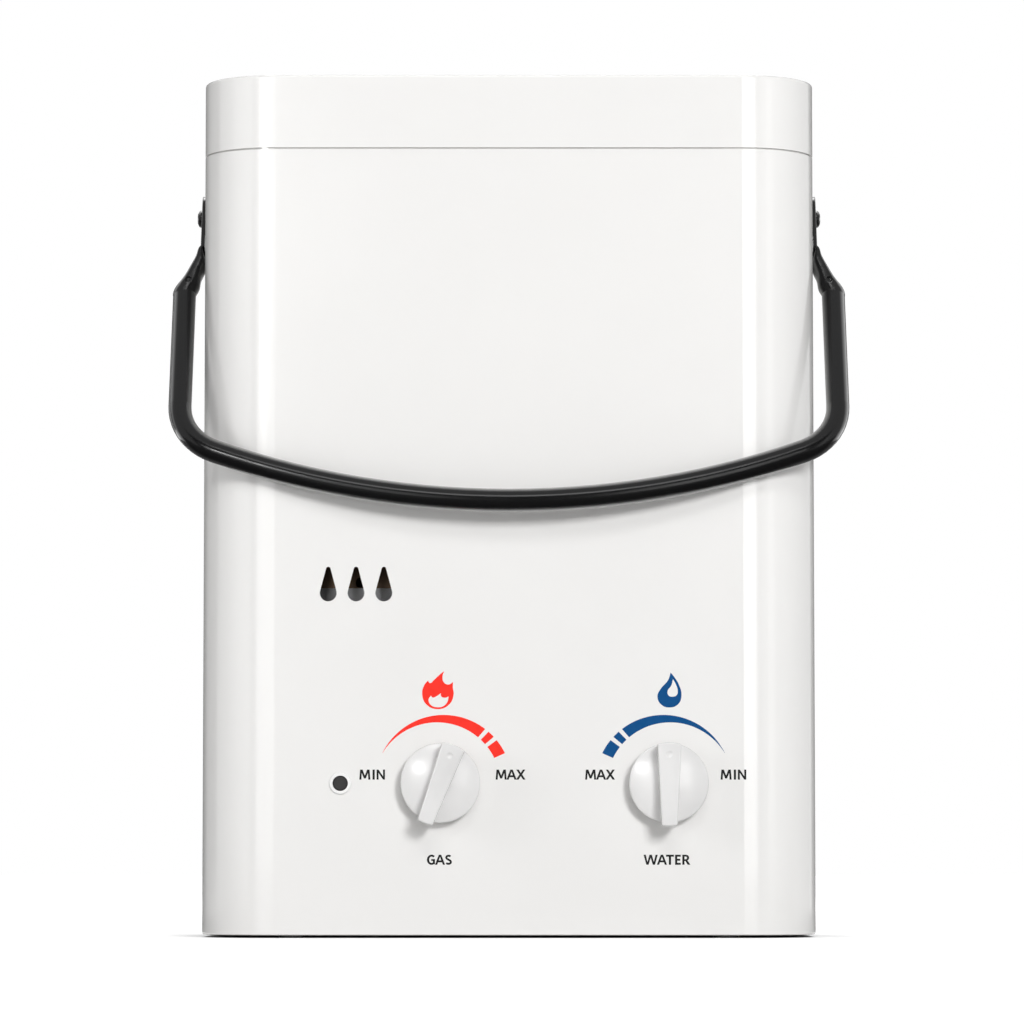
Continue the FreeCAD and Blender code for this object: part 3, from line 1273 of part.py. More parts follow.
def burner_bar(x):
    """One burner bar: mixing tube, web and a slotted head."""
    y0 = bar_front()
    y1 = y0 + BAR_LENGTH
    z = bar_axis_z()
    low = z - BAR_TUBE_RADIUS
    top = low + BAR_HEIGHT
    tube = rod(BAR_TUBE_RADIUS, (x, y0, z), (x, y1, z))
    web = box(x - BAR_WEB / 2, x + BAR_WEB / 2, y0, y1, z, top - 1)
    half = BAR_HEAD_WIDTH / 2
    head = box(x - half, x + half, y0, y1, top - BAR_HEAD_HEIGHT, top)
    head = head.makeChamfer(2.0, [e for e in head.Edges if e.BoundBox.YLength > BAR_LENGTH - 1])
    bar = tube.multiFuse([web, head])
    cutters = [rod(VENTURI_RADIUS, (x, y0 - 1, z), (x, y0 + VENTURI_DEPTH, z))]
    pitch = BAR_LENGTH / BAR_PORTS
    for k in range(BAR_PORTS):
        y = y0 + (k + 0.5) * pitch
        slot = box(
            x - half - 1, x + half + 1, y - BAR_PORT_WIDTH / 2, y + BAR_PORT_WIDTH / 2,
            top - BAR_PORT_DEPTH, top + 1,
        )
        cutters.append(slot)
    return bar.cut(cutters).removeSplitter()


def electrode_bracket():
    """A small plate on the burner box that holds both electrodes."""
    y0 = BOX_FRONT - BRACKET_SHEET
    margin = CERAMIC_RADIUS + 3
    places = electrode_places()
    plate = box(
        min(places) - margin, max(places) + margin, y0, BOX_FRONT, ELECTRODE_Z - margin, ELECTRODE_Z + margin
    )
    holes = [rod(CERAMIC_RADIUS + SLIP_FIT, (x, y0 - 1, ELECTRODE_Z), (x, BOX_FRONT + 1, ELECTRODE_Z)) for x in places]
    return plate.cut(holes)


def electrode(x, hooked):
    """A ceramic sleeve through the burner box's wall, with its metal pin."""
    y1 = BOX_FRONT + CERAMIC_INSIDE
    y0 = y1 - CERAMIC_LENGTH
    sleeve = rod(CERAMIC_RADIUS, (x, y0, ELECTRODE_Z), (x, y1, ELECTRODE_Z))
    tip = y1 + PIN_PAST
    pin = rod(PIN_RADIUS, (x, y0 - PIN_TERMINAL, ELECTRODE_Z), (x, tip, ELECTRODE_Z))
    parts = [pin]
    if hooked:
        y = tip - PIN_RADIUS
        parts.append(rod(PIN_RADIUS, (x, y, ELECTRODE_Z), (x - HOOK_LENGTH, y, ELECTRODE_Z)))
    return sleeve.multiFuse(parts)


# ---- heat exchanger

def tube_places():
    return [TUBE_FRONT + k * TUBE_PITCH for k in range(TUBE_COUNT)]


def tube_bores(radius, reach):
    return [rod(radius, (-reach, y, TUBE_LEVEL), (reach, y, TUBE_LEVEL)) for y in tube_places()]


def rounded_block(half_x, y0, y1, z0, z1, corner):
    """A block about X = 0 with its four upright edges rounded."""
    block = box(-half_x, half_x, y0, y1, z0, z1)
    return block.makeFillet(corner, [e for e in block.Edges if e.BoundBox.ZLength > z1 - z0 - 0.01])


def combustion_chamber():
    """The copper chamber over the burner, open at both ends, with the tubes' holes."""
    w = CHAMBER_HALF_WIDTH
    t = CHAMBER_SHEET
    shell = rounded_block(w, CHAMBER_FRONT, CHAMBER_BACK, CHAMBER_BOTTOM, CHAMBER_TOP, CHAMBER_CORNER)
    shell = shell.cut(rounded_block(
        w - t, CHAMBER_FRONT + t, CHAMBER_BACK - t, CHAMBER_BOTTOM - 1, CHAMBER_TOP + 1, CHAMBER_CORNER - t
    ))
    cutters = tube_bores(EXCHANGER_TUBE_RADIUS + SLIP_FIT, w + 1)
    cutters.append(rod(PEEP_RADIUS, (PEEP_X, CHAMBER_FRONT - 1, PEEP_Z), (PEEP_X, CHAMBER_FRONT + t + 1, PEEP_Z)))
    return shell.cut(cutters)


def fin_pack():
    """Copper fins on the exchanger tubes: plates with gas passages between them and the tubes."""
    w = CHAMBER_HALF_WIDTH - CHAMBER_SHEET - SEAT_GAP
    y0 = CHAMBER_FRONT + CHAMBER_SHEET + SEAT_GAP
    y1 = CHAMBER_BACK - CHAMBER_SHEET - SEAT_GAP
    z0 = TUBE_LEVEL - FIN_BLOCK_HEIGHT / 2
    z1 = TUBE_LEVEL + FIN_BLOCK_HEIGHT / 2
    block = rounded_block(w, y0, y1, z0, z1, CHAMBER_CORNER - CHAMBER_SHEET - SEAT_GAP)
    cutters = tube_bores(EXCHANGER_TUBE_RADIUS + SLIP_FIT, w + 1)
    wall = EXCHANGER_TUBE_RADIUS + FIN_SHEET / 2 + SLIP_FIT
    lanes = []
    at = y0 + FIN_SHEET
    for y in tube_places():
        lanes.append((at, y - wall))
        at = y + wall
    lanes.append((at, y1 - FIN_SHEET))
    pitch = (2 * w - FIN_SHEET) / (FIN_COUNT - 1)
    for k in range(FIN_COUNT - 1):
        x0 = -w + FIN_SHEET + k * pitch
        for a, b in lanes:
            cutters.append(box(x0, x0 + pitch - FIN_SHEET, a, b, z0 - 1, z1 + 1))
    return block.cut(cutters)


def exchanger_tubes():
    """One serpentine tube through the fins, with a return bend at each turn."""
    places = list(reversed(tube_places()))
    bend = TUBE_PITCH / 2
    path = [(TUBE_END, places[0], TUBE_LEVEL)]
    side = -1
    for here, there in zip(places, places[1:]):
        path.append((side * (TUBE_END + bend), here, TUBE_LEVEL))
        path.append((side * (TUBE_END + bend), there, TUBE_LEVEL))
        side = -side
    path.append((side * TUBE_END, places[-1], TUBE_LEVEL))
    return pipe(path, bend - 0.01, EXCHANGER_TUBE_RADIUS)


def cold_pipe():
    """From the water valve straight up beside the burner."""
    z0 = WATER_BODY_TOP + OUTLET_BOSS_HEIGHT
    return rod(PIPE_RADIUS, (RISER_X, COLD_RISER_DEPTH, z0), (RISER_X, COLD_RISER_DEPTH, CHAMBER_BOTTOM))


def chamber_coil():
    """The pipe soldered round the chamber, and its riser to the exchanger tubes."""
    front = CHAMBER_FRONT - COIL_STAND
    back = CHAMBER_BACK + COIL_STAND
    points = [
        (RISER_X, COLD_RISER_DEPTH, CHAMBER_BOTTOM),
        (RISER_X, COLD_RISER_DEPTH, COIL_LEVEL),
        (RISER_X, front, COIL_LEVEL),
        (-RISER_X, front, COIL_LEVEL),
        (-RISER_X, back, COIL_LEVEL),
        (RETURN_RISER_X, back, COIL_LEVEL),
        (RETURN_RISER_X, TUBE_BACK, COIL_LEVEL),
        (RETURN_RISER_X, TUBE_BACK, TUBE_LEVEL),
        (TUBE_END, TUBE_BACK, TUBE_LEVEL),
    ]
    return pipe(points, PIPE_BEND - 0.01, PIPE_RADIUS)


def hot_pipe():
    """From the exchanger's end down to the hot outlet."""
    points = [
        (-TUBE_END, TUBE_FRONT, TUBE_LEVEL),
        (HOT_X, TUBE_FRONT, TUBE_LEVEL),
        (HOT_X, FITTING_DEPTH, WATER_BODY_BOTTOM),
    ]
    return pipe(points, PIPE_BEND, PIPE_RADIUS)


def flue_hood():
    """The hood that leads the exhaust from the fins to the grille."""
    def ring(inset_x, inset_y, wall, z):
        x = CHAMBER_HALF_WIDTH - inset_x - wall
        y0, y1 = CHAMBER_FRONT + inset_y + wall, CHAMBER_BACK - inset_y - wall
        return Part.makePolygon([V(-x, y0, z), V(x, y0, z), V(x, y1, z), V(-x, y1, z), V(-x, y0, z)])

    def body(wall, low, high):
        rim = Part.Face(ring(0, 0, wall, low)).extrude(V(0, 0, CHAMBER_TOP + HOOD_RIM - low))
        cone = Part.makeLoft(
            [ring(0, 0, wall, CHAMBER_TOP + HOOD_RIM), ring(HOOD_INSET[0], HOOD_INSET[1], wall, high)], True, True
        )
        return rim.fuse(cone)

    outer = body(0, CHAMBER_TOP, HOOD_TOP)
    inner = body(CHAMBER_SHEET, CHAMBER_TOP - 1, HOOD_TOP)
    return outer.cut(inner).removeSplitter()


def thermal_cutout():
    """The over-temperature switch on the chamber's left wall."""
    x = -CHAMBER_HALF_WIDTH
    y = CHAMBER_FRONT + (CHAMBER_BACK - CHAMBER_FRONT) / 2
    disc = rod(CUTOUT_RADIUS, (x, y, CUTOUT_Z), (x - CUTOUT_HEIGHT, y, CUTOUT_Z))
    blades = []
    for side in LEFT_RIGHT:
        at = y + side * 3
        blades.append(box(x - CUTOUT_HEIGHT - 5, x - CUTOUT_HEIGHT + 1, at - 0.4, at + 0.4, CUTOUT_Z - 2, CUTOUT_Z + 2))
    return disc.multiFuse(blades)


def chamber_stays():
    """Folded stays that carry the burner box and the chamber on the back plate."""
    solids = []
    for side in LEFT_RIGHT:
        for z, front in zip(STAY_Z, (BOX_BACK, CHAMBER_BACK)):
            x0 = side * STAY_X - STAY_WIDTH / 2
            x1 = side * STAY_X + STAY_WIDTH / 2
            t = BRACKET_SHEET
            arm = box(x0, x1, front, BACK_INNER, z, z + t)
            near = box(x0, x1, front, front + t, z, z + STAY_FLANGE)
            far = box(x0, x1, BACK_INNER - t, BACK_INNER, z - STAY_FLANGE + t, z + t)
            solids.append(arm.multiFuse([near, far]).removeSplitter())
    return solids


# ---- water train

def water_valve_body():
    """The brass water valve, with the fixed half of its diaphragm housing."""
    block = box(
        WATER_BODY_LEFT - 1, WATER_BODY_RIGHT, WATER_BODY_FRONT, WATER_BODY_BACK, WATER_BODY_BOTTOM, WATER_BODY_TOP
    )
    block = block.makeFillet(3.0, [e for e in block.Edges if e.BoundBox.YLength > 5])
    housing = rod(HOUSING_RADIUS, (HOUSING_LEFT, HOUSING_DEPTH, KNOB_Z), (WATER_BODY_LEFT, HOUSING_DEPTH, KNOB_Z))
    front = WATER_BODY_FRONT - WATER_BOSS_HEIGHT
    boss = rod(BOSS_RADIUS, (WATER_KNOB_X, front, KNOB_Z), (WATER_KNOB_X, WATER_BODY_FRONT + 1, KNOB_Z))
    outlet_top = WATER_BODY_TOP + OUTLET_BOSS_HEIGHT
    outlet = rod(BOSS_RADIUS, (RISER_X, COLD_RISER_DEPTH, WATER_BODY_TOP - 4), (RISER_X, COLD_RISER_DEPTH, outlet_top))
    body = block.multiFuse([housing, boss, outlet])
    bore = rod(
        SPINDLE_RADIUS + RUNNING_FIT,
        (WATER_KNOB_X, front - CUT_PAST, KNOB_Z),
        (WATER_KNOB_X, front + SPINDLE_IN_VALVE + 1, KNOB_Z),
    )
    return body.cut([bore] + valve_screw_bars(VALVE_SCREW_RADIUS + SLIP_FIT)).removeSplitter()


def valve_screw_bars(radius):
    """Bars along the diaphragm screws, from the cover's flange into the housing."""
    bars = []
    for k in range(VALVE_SCREW_COUNT):
        angle = 2 * math.pi * (k + 0.5) / VALVE_SCREW_COUNT
        y = HOUSING_DEPTH + VALVE_SCREW_CIRCLE * math.cos(angle)
        z = KNOB_Z + VALVE_SCREW_CIRCLE * math.sin(angle)
        bars.append(rod(radius, (COVER_RIGHT - DOME_FLANGE, y, z), (WATER_BODY_LEFT - 2, y, z)))
    return bars


def valve_screws():
    solids = []
    x = COVER_RIGHT - DOME_FLANGE
    for bar in valve_screw_bars(VALVE_SCREW_RADIUS):
        centre = bar.CenterOfMass
        head = rod(VALVE_SCREW_HEAD, (x - VALVE_SCREW_HEAD_HEIGHT, centre.y, centre.z), (x, centre.y, centre.z))
        solids.append(bar.fuse(head))
    return solids


def diaphragm():
    disc = rod(
        HOUSING_RADIUS - DIAPHRAGM_MARGIN, (COVER_RIGHT, HOUSING_DEPTH, KNOB_Z), (HOUSING_LEFT, HOUSING_DEPTH, KNOB_Z)
    )
    return disc.cut(valve_screw_bars(VALVE_SCREW_RADIUS + SLIP_FIT))


def diaphragm_cover():
    """The moving side's cover, with the guide boss of the push rod."""
    right = COVER_RIGHT
    profile = [
        (HOUSING_RADIUS, 0),
        (HOUSING_RADIUS, DOME_FLANGE),
        (DOME_RADIUS + 4, DOME_FLANGE),
        (DOME_RADIUS, DOME_FLANGE + DOME_LENGTH),
        (ROD_BOSS_RADIUS, DOME_FLANGE + DOME_LENGTH),
        (ROD_BOSS_RADIUS, DOME_FLANGE + DOME_LENGTH + ROD_BOSS_HEIGHT),
    ]
    cover = turned(profile, (right, HOUSING_DEPTH, KNOB_Z), (-1, 0, 0))
    bore = rod(ROD_RADIUS + RUNNING_FIT, (right + 1, HOUSING_DEPTH, KNOB_Z), (0, HOUSING_DEPTH, KNOB_Z))
    return cover.cut([bore] + valve_screw_bars(VALVE_SCREW_RADIUS + SLIP_FIT))


def push_rod():
    """The rod that opens the gas valve when water flows, with the collar that works the switch."""
    bar = rod(ROD_RADIUS, (rod_left(), HOUSING_DEPTH, KNOB_Z), (COVER_RIGHT - SEAT_GAP, HOUSING_DEPTH, KNOB_Z))
    half = ROD_COLLAR_WIDTH / 2
    collar = rod(
        ROD_COLLAR_RADIUS, (ROD_COLLAR_X - half, HOUSING_DEPTH, KNOB_Z), (ROD_COLLAR_X + half, HOUSING_DEPTH, KNOB_Z)
    )
    return bar.fuse(collar)


def micro_switch():
    """The switch over the rod's collar, on its bracket from the gas valve."""
    z0 = KNOB_Z + ROD_COLLAR_RADIUS + MICROSWITCH_LEVER_GAP
    length, depth, height = MICROSWITCH
    y0 = HOUSING_DEPTH - depth / 2
    body = box(MICROSWITCH_X, MICROSWITCH_X + length, y0, y0 + depth, z0 + 2, z0 + height)
    lever = box(MICROSWITCH_X + 1, MICROSWITCH_X + length - 3, y0 + 3, y0 + depth - 3, z0, z0 + 0.6)
    post = box(MICROSWITCH_X + length - 5, MICROSWITCH_X + length - 3, y0 + 3, y0 + depth - 3, z0, z0 + 3)
    plate = box(
        GAS_BODY_RIGHT, MICROSWITCH_X + length, y0 + depth, y0 + depth + BRACKET_SHEET, z0 + 2, z0 + height
    )
    return body.multiFuse([lever, post, plate])


def drain_plug():
    """The drain plug under the water valve, reachable below the base plate."""
    x, y = DRAIN_X, FITTING_DEPTH
    low = BASE_HEIGHT - DRAIN_HEAD_DROP - DRAIN_HEAD_HEIGHT
    head = rod(DRAIN_HEAD_RADIUS, (x, y, low), (x, y, low + DRAIN_HEAD_HEIGHT))
    stem = rod(DRAIN_RADIUS, (x, y, low + 1), (x, y, WATER_BODY_BOTTOM))
    slot = box(x - DRAIN_HEAD_RADIUS, x + DRAIN_HEAD_RADIUS, y - 0.8, y + 0.8, low - 1, low + 1.6)
    return head.fuse(stem).cut(slot).removeSplitter()


# ---- electrics

def battery_box():
    """The battery holder on the base plate, open at the bottom."""
    hx, hy = BATTERY_HALF
    x, y = BATTERY_X, BATTERY_DEPTH
    roof = cell_top() + CONTACT_HEIGHT + CONTACT_SHEET
    top = roof + BATTERY_WALL
    shell = box(x - hx, x + hx, y - hy, y + hy, BASE_TOP, top)
    t = BATTERY_WALL
    hollow = box(x - hx + t, x + hx - t, y - hy + t, y + hy - t, BASE_TOP - 1, roof)
    return shell.cut(hollow)


def cell_top():
    return BASE_HEIGHT + CELL_LENGTH + CELL_NUB_HEIGHT


def cell_places():
    return [(BATTERY_X + side * (CELL_RADIUS + CELL_CLEARANCE / 4), BATTERY_DEPTH) for side in LEFT_RIGHT]


def cells():
    solids = []
    for x, y in cell_places():
        can = rod(CELL_RADIUS, (x, y, BASE_HEIGHT), (x, y, BASE_HEIGHT + CELL_LENGTH))
        nub = rod(CELL_NUB_RADIUS, (x, y, BASE_HEIGHT + CELL_LENGTH), (x, y, cell_top()))
        solids.append(can.fuse(nub))
    return solids


def battery_contacts():
    """A strip in the holder's roof with a sprung cone over each cell."""
    z = cell_top() + CONTACT_HEIGHT
    xs = [x for x, _ in cell_places()]
    y = BATTERY_DEPTH
    w = CONTACT_HALF_WIDTH
    strip = box(min(xs) - w, max(xs) + w, y - w, y + w, z, z + CONTACT_SHEET)
    cones = [
        Part.makeCone(CELL_NUB_RADIUS - 1, CONTACT_CONE_RADIUS, CONTACT_HEIGHT, V(x, y, cell_top()), V(0, 0, 1))
        for x in xs
    ]
    return strip.multiFuse(cones).removeSplitter()


def battery_door():
    """The sliding door under the battery holder, with finger ribs."""
    y0 = BATTERY_DEPTH - BATTERY_HALF[1]
    y1 = BATTERY_DEPTH + BATTERY_HALF[1]
    plate = box(BATTERY_X - DOOR_HALF_WIDTH, BATTERY_X + DOOR_HALF_WIDTH, y0, y1, DOOR_BOTTOM, DOOR_TOP)
    ribs = []
    for k in range(DOOR_RIB_COUNT):
        y = y0 + DOOR_RIB_SETBACK + k * DOOR_RIB_PITCH
        half, w = DOOR_RIB_HALF_LENGTH, DOOR_RIB_HALF_WIDTH
        root = DOOR_BOTTOM + DOOR_THICKNESS / 4
        ribs.append(box(BATTERY_X - half, BATTERY_X + half, y - w, y + w, DOOR_BOTTOM - DOOR_RIB, root))
    return plate.multiFuse(ribs)


def igniter_box():
    """The pulse igniter, standing on the base plate behind the water valve."""
    w, d, h = IGNITER_SIZE
    back = BACK_INNER - IGNITER_REAR_GAP
    body = box(IGNITER_X - w / 2, IGNITER_X + w / 2, back - d, back, BASE_TOP, BASE_TOP + h)
    body = body.makeFillet(IGNITER_EDGE_RADIUS, [e for e in body.Edges if e.BoundBox.ZLength > h - 1])
    radius, rise = IGNITER_PORT
    y, top = back - d / 2, BASE_TOP + h
    port = rod(radius, (IGNITER_X, y, top - 1), (IGNITER_X, y, top + rise))
    return body.fuse(port)


def case_screws():
    """Every screw in the back: cover, cap, base plate and wall hanger."""
    solids = []
    hanger_rises = [HANGER_Z + rise for rise in hanger_screw_rises()]
    for x, z in back_screw_places():
        on_hanger = z in hanger_rises and abs(x) < HANGER_WIDTH
        face = CASE_DEPTH + (HANGER_SHEET if on_hanger else 0)
        solids.append(screw((x, face, z), (0, -1, 0)))
    return solids


def build():
    os.makedirs("parts", exist_ok=True)
    save("front_cover", front_cover())
    save("top_cap", top_cap())
    save("exhaust_grille", exhaust_grille())
    save("back_plate", back_plate())
    save("wall_hanger", wall_hanger())
    save("base_plate", base_plate())
    save("feet", *feet())
    save("case_screws", *case_screws())
    save("bail", bail())
    save("bail_screws", *bail_screws())
    save("bail_washers", *bail_washers())
    save("bail_nuts", *bail_nuts())
    save("gas_knob", turn_gas(knob(GAS_KNOB_X)))
    save("gas_spindle", turn_gas(spindle(GAS_KNOB_X, GAS_BODY_FRONT - GAS_BOSS_HEIGHT)))
    save("water_knob", knob(WATER_KNOB_X))
    save("water_spindle", spindle(WATER_KNOB_X, WATER_BODY_FRONT - WATER_BOSS_HEIGHT))
    save("button_cap", button_cap())
    save("button_bezel", button_bezel())
    save("switch_body", switch_body())
    save("gas_valve_body", gas_valve_body())
    save("gas_valve_cover", gas_valve_cover())
    save("solenoid", solenoid())
    save("gas_inlet_fitting", hose_fitting(
        GAS_KNOB_X, GAS_THREAD_RADIUS, GAS_THREAD_LENGTH, GAS_BORE_RADIUS, GAS_TAIL_RADIUS, GAS_BODY_BOTTOM
    ))
    save("hot_outlet_fitting", hose_fitting(
        HOT_X, HOT_THREAD_RADIUS, HOT_THREAD_LENGTH, HOT_BORE_RADIUS, HOT_TAIL_RADIUS, WATER_BODY_BOTTOM
    ))
    save("cold_inlet_fitting", hose_fitting(
        COLD_X, COLD_THREAD_RADIUS, COLD_THREAD_LENGTH, COLD_BORE_RADIUS, COLD_TAIL_RADIUS, WATER_BODY_BOTTOM
    ))
    save("fitting_nuts", *fitting_nuts())
    save("gas_manifold", gas_manifold())
    save("injectors", *injectors())
    save("burner_box", burner_box())
    save("burner_bars", *[burner_bar(x) for x in bar_places()])
    save("electrode_bracket", electrode_bracket())
    spark_x, sensor_x = electrode_places()
    save("spark_electrode", electrode(spark_x, True))
    save("flame_sensor", electrode(sensor_x, False))
    save("combustion_chamber", combustion_chamber())
    save("fin_pack", fin_pack())
    save("exchanger_tubes", exchanger_tubes())
    save("chamber_coil", chamber_coil())
    save("cold_pipe", cold_pipe())
    save("hot_pipe", hot_pipe())
    save("flue_hood", flue_hood())
    save("thermal_cutout", thermal_cutout())
    save("chamber_stays", *chamber_stays())
    save("water_valve_body", water_valve_body())
    save("diaphragm", diaphragm())
    save("diaphragm_cover", diaphragm_cover())
    save("valve_screws", *valve_screws())
    save("push_rod", push_rod())
    save("micro_switch", micro_switch())
    save("drain_plug", drain_plug())
    save("battery_box", battery_box())
    save("battery_cells", *cells())
    save("battery_contacts", battery_contacts())
    save("battery_door", battery_door())
    save("igniter_box", igniter_box())


build()
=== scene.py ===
"""Portable propane water heater: prints, hose threads, materials, light and camera round the frame."""
import json
import math

import bmesh
import bpy
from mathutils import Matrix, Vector


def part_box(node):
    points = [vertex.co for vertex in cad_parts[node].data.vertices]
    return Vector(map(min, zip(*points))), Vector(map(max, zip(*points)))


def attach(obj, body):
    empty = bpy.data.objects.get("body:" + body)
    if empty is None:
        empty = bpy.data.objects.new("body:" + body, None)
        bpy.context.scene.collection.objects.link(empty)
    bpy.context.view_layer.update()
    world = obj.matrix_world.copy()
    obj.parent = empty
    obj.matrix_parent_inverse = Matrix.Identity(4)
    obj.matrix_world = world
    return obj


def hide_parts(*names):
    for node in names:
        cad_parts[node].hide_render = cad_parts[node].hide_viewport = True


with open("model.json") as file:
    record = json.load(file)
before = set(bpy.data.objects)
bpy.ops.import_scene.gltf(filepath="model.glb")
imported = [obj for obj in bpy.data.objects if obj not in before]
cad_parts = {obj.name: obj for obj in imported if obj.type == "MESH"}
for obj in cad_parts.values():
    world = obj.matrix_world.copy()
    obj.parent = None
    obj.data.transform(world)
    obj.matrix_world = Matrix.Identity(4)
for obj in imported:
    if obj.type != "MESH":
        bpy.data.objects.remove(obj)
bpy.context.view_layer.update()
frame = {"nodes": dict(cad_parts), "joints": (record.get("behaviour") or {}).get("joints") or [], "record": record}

MM = 0.001

# ---- places taken from the frame

cover_low, cover_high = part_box("front_cover")
joint_place = {joint["name"]: Vector(joint["pos_m"]) for joint in frame["joints"] if joint.get("pos_m")}
mount = {m["name"]: m for m in frame["record"]["mounts"]}

PANEL_Y = cover_low.y
GAS_CENTRE = joint_place["gas_knob_turn"] / MM
WATER_CENTRE = joint_place["water_knob_turn"] / MM

# ---- screen prints on the panel, in millimetres

PRINT_PROUD = 0.03           # the ink's thickness over the paint
PRINT_SINK = 0.03            # how far the ink's back lies inside the paint

ARC_RADIUS = 33.0
ARC_SHIFT = (1.9, -0.5)      # centre of the crescent's outer circle, towards MAX
HOLLOW_RADIUS = 30.8
HOLLOW_SHIFT = (-1.3, -1.9)
ARC_SPANS = ((24.0, 36.5), (40.0, 46.0), (49.5, 153.0))    # degrees from the MAX side
ARC_STEP = 1.5
ARC_OFFSET = (-0.4, 0.4)     # of both crescents, from the knobs' axes

ICON_RISE = 44.9             # middle of the flame and the drop, above the knobs' axes
FLAME_SHIFT = -1.3
DROP_SHIFT = 0.6

CAPS = 4.65                  # height of the capital letters
STEM = 0.19                  # the letters' strokes, as shares of that height
BAR = 0.165
HOOK = 0.085                 # half the stroke of the S
BOW_STEP = 12.0              # degrees
OUTLINE_STEPS = 10           # between two points of the flame and the drop
BOLDER = 0.02                # by which every edge of a letter is moved out
LETTER_GAPS = {
    "MI": 0.27, "IN": 0.23, "MA": 0.03, "AX": 0.0, "GA": 0.02,
    "AS": 0.03, "WA": -0.04, "AT": -0.06, "TE": 0.16, "ER": 0.2,
}
SCALE_WORD_RISE = 4.1
NAME_WORD_RISE = -36.9
WORDS = {                    # the word, and where its middle lies from a knob's axis
    "gas_min_print": ("MIN", GAS_CENTRE, -33.0, SCALE_WORD_RISE),
    "gas_max_print": ("MAX", GAS_CENTRE, 33.8, SCALE_WORD_RISE),
    "water_max_print": ("MAX", WATER_CENTRE, -33.0, SCALE_WORD_RISE),
    "water_min_print": ("MIN", WATER_CENTRE, 31.4, SCALE_WORD_RISE),
    "gas_print": ("GAS", GAS_CENTRE, -0.5, NAME_WORD_RISE),
    "water_print": ("WATER", WATER_CENTRE, -0.8, NAME_WORD_RISE),
}

# ---- hose threads, in millimetres

PITCH = {"gas_inlet": 1.41, "hot_outlet": 1.81, "cold_inlet": 2.21}
BORE = {"gas_inlet": 4.0, "hot_outlet": 6.5, "cold_inlet": 8.5}
TAIL = {"gas_inlet": 7.5, "hot_outlet": 8.5, "cold_inlet": 10.0}
HEX_MARGIN = 2.6
HEX_HEIGHT = 6.0
HEX_CHAMFER = 0.55
HEX_EASE = 0.1               # by which the chamfers' rims lie inside the flats
MOUTH_CHAMFER = 1.2
THREAD_DEPTH = 0.5           # of the pitch
THREAD_LEAD = 0.8            # of the pitch, over which the first turn rises
THREAD_STEPS = 8             # rings to a turn
THREAD_RELIEF = 2.0          # length of the plain neck over the thread
TURN_SEGMENTS = 96
SMOOTH_BELOW = 28.0          # degrees between two faces
BORE_RISE = 4.0              # blind end of the bore, over the base plate's underside

# ---- heat stains

SCORCH_MARGIN = 0.004        # metres
SCORCH_SHARE = 0.8           # of the combustion chamber's height


# ---- pieces

def add_piece(name, mesh, body, slot):
    """Links a new mesh, gives it the slot's material and lets it ride on a body."""
    piece = bpy.data.objects.new(name, mesh)
    bpy.context.scene.collection.objects.link(piece)
    mesh.materials.clear()
    mesh.materials.append(MATERIALS[slot])
    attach(piece, body)
    return piece


def stamp(name, curve, x, z, slot):
    """Turns a flat filled curve into a thin layer of ink on the panel, with its origin at (x, z)."""
    curve.extrude = (PRINT_PROUD + PRINT_SINK) / 2
    template = bpy.data.objects.new(name, curve)
    mesh = bpy.data.meshes.new_from_object(template)
    for vertex in mesh.vertices:
        across, up, out = vertex.co
        depth = PANEL_Y / MM - out + (PRINT_SINK - PRINT_PROUD) / 2
        vertex.co = Vector((x + across, depth, z + up)) * MM
    bpy.data.objects.remove(template)
    mesh.name = name
    add_piece(name, mesh, "case", slot)


def flat_curve(name):
    curve = bpy.data.curves.new(name, "CURVE")
    curve.dimensions = "2D"
    curve.fill_mode = "BOTH"
    return curve


def add_polygon(curve, points):
    spline = curve.splines.new("POLY")
    spline.points.add(len(points) - 1)
    for point, (x, y) in zip(spline.points, points):
        point.co = (x, y, 0, 1)
    spline.use_cyclic_u = True


def add_outline(curve, points):
    """A closed outline through (x, y, kind) points: "round" ones flow on, "sharp" ones make a corner."""
    spline = curve.splines.new("BEZIER")
    spline.bezier_points.add(len(points) - 1)
    for point, (x, y, kind) in zip(spline.bezier_points, points):
        point.co = (x, y, 0)
        handle = "AUTO" if kind == "round" else "VECTOR"
        point.handle_left_type = handle
        point.handle_right_type = handle
    spline.use_cyclic_u = True
    spline.resolution_u = OUTLINE_STEPS


def reach(angle, radius, shift):
    """From the knob's axis out to a circle that is shifted off it."""
    along = shift[0] * math.cos(angle) + shift[1] * math.sin(angle)
    offset = shift[0] ** 2 + shift[1] ** 2
    return along + math.sqrt(along ** 2 - offset + radius ** 2)


def scale_arc(name, centre, max_side, slot):
    """The crescent over a knob, cut into three pieces, thick at its MAX end."""
    curve = flat_curve(name)
    for start, end in ARC_SPANS:
        steps = max(2, round((end - start) / ARC_STEP))
        angles = [math.radians(start + (end - start) * k / steps) for k in range(steps + 1)]
        outer = [(a, reach(a, ARC_RADIUS, ARC_SHIFT)) for a in angles]
        inner = [(a, reach(a, HOLLOW_RADIUS, HOLLOW_SHIFT)) for a in reversed(angles)]
        add_polygon(curve, [(max_side * r * math.cos(a), r * math.sin(a)) for a, r in outer + inner])
    stamp(name, curve, centre.x + ARC_OFFSET[0], centre.z + ARC_OFFSET[1], slot)


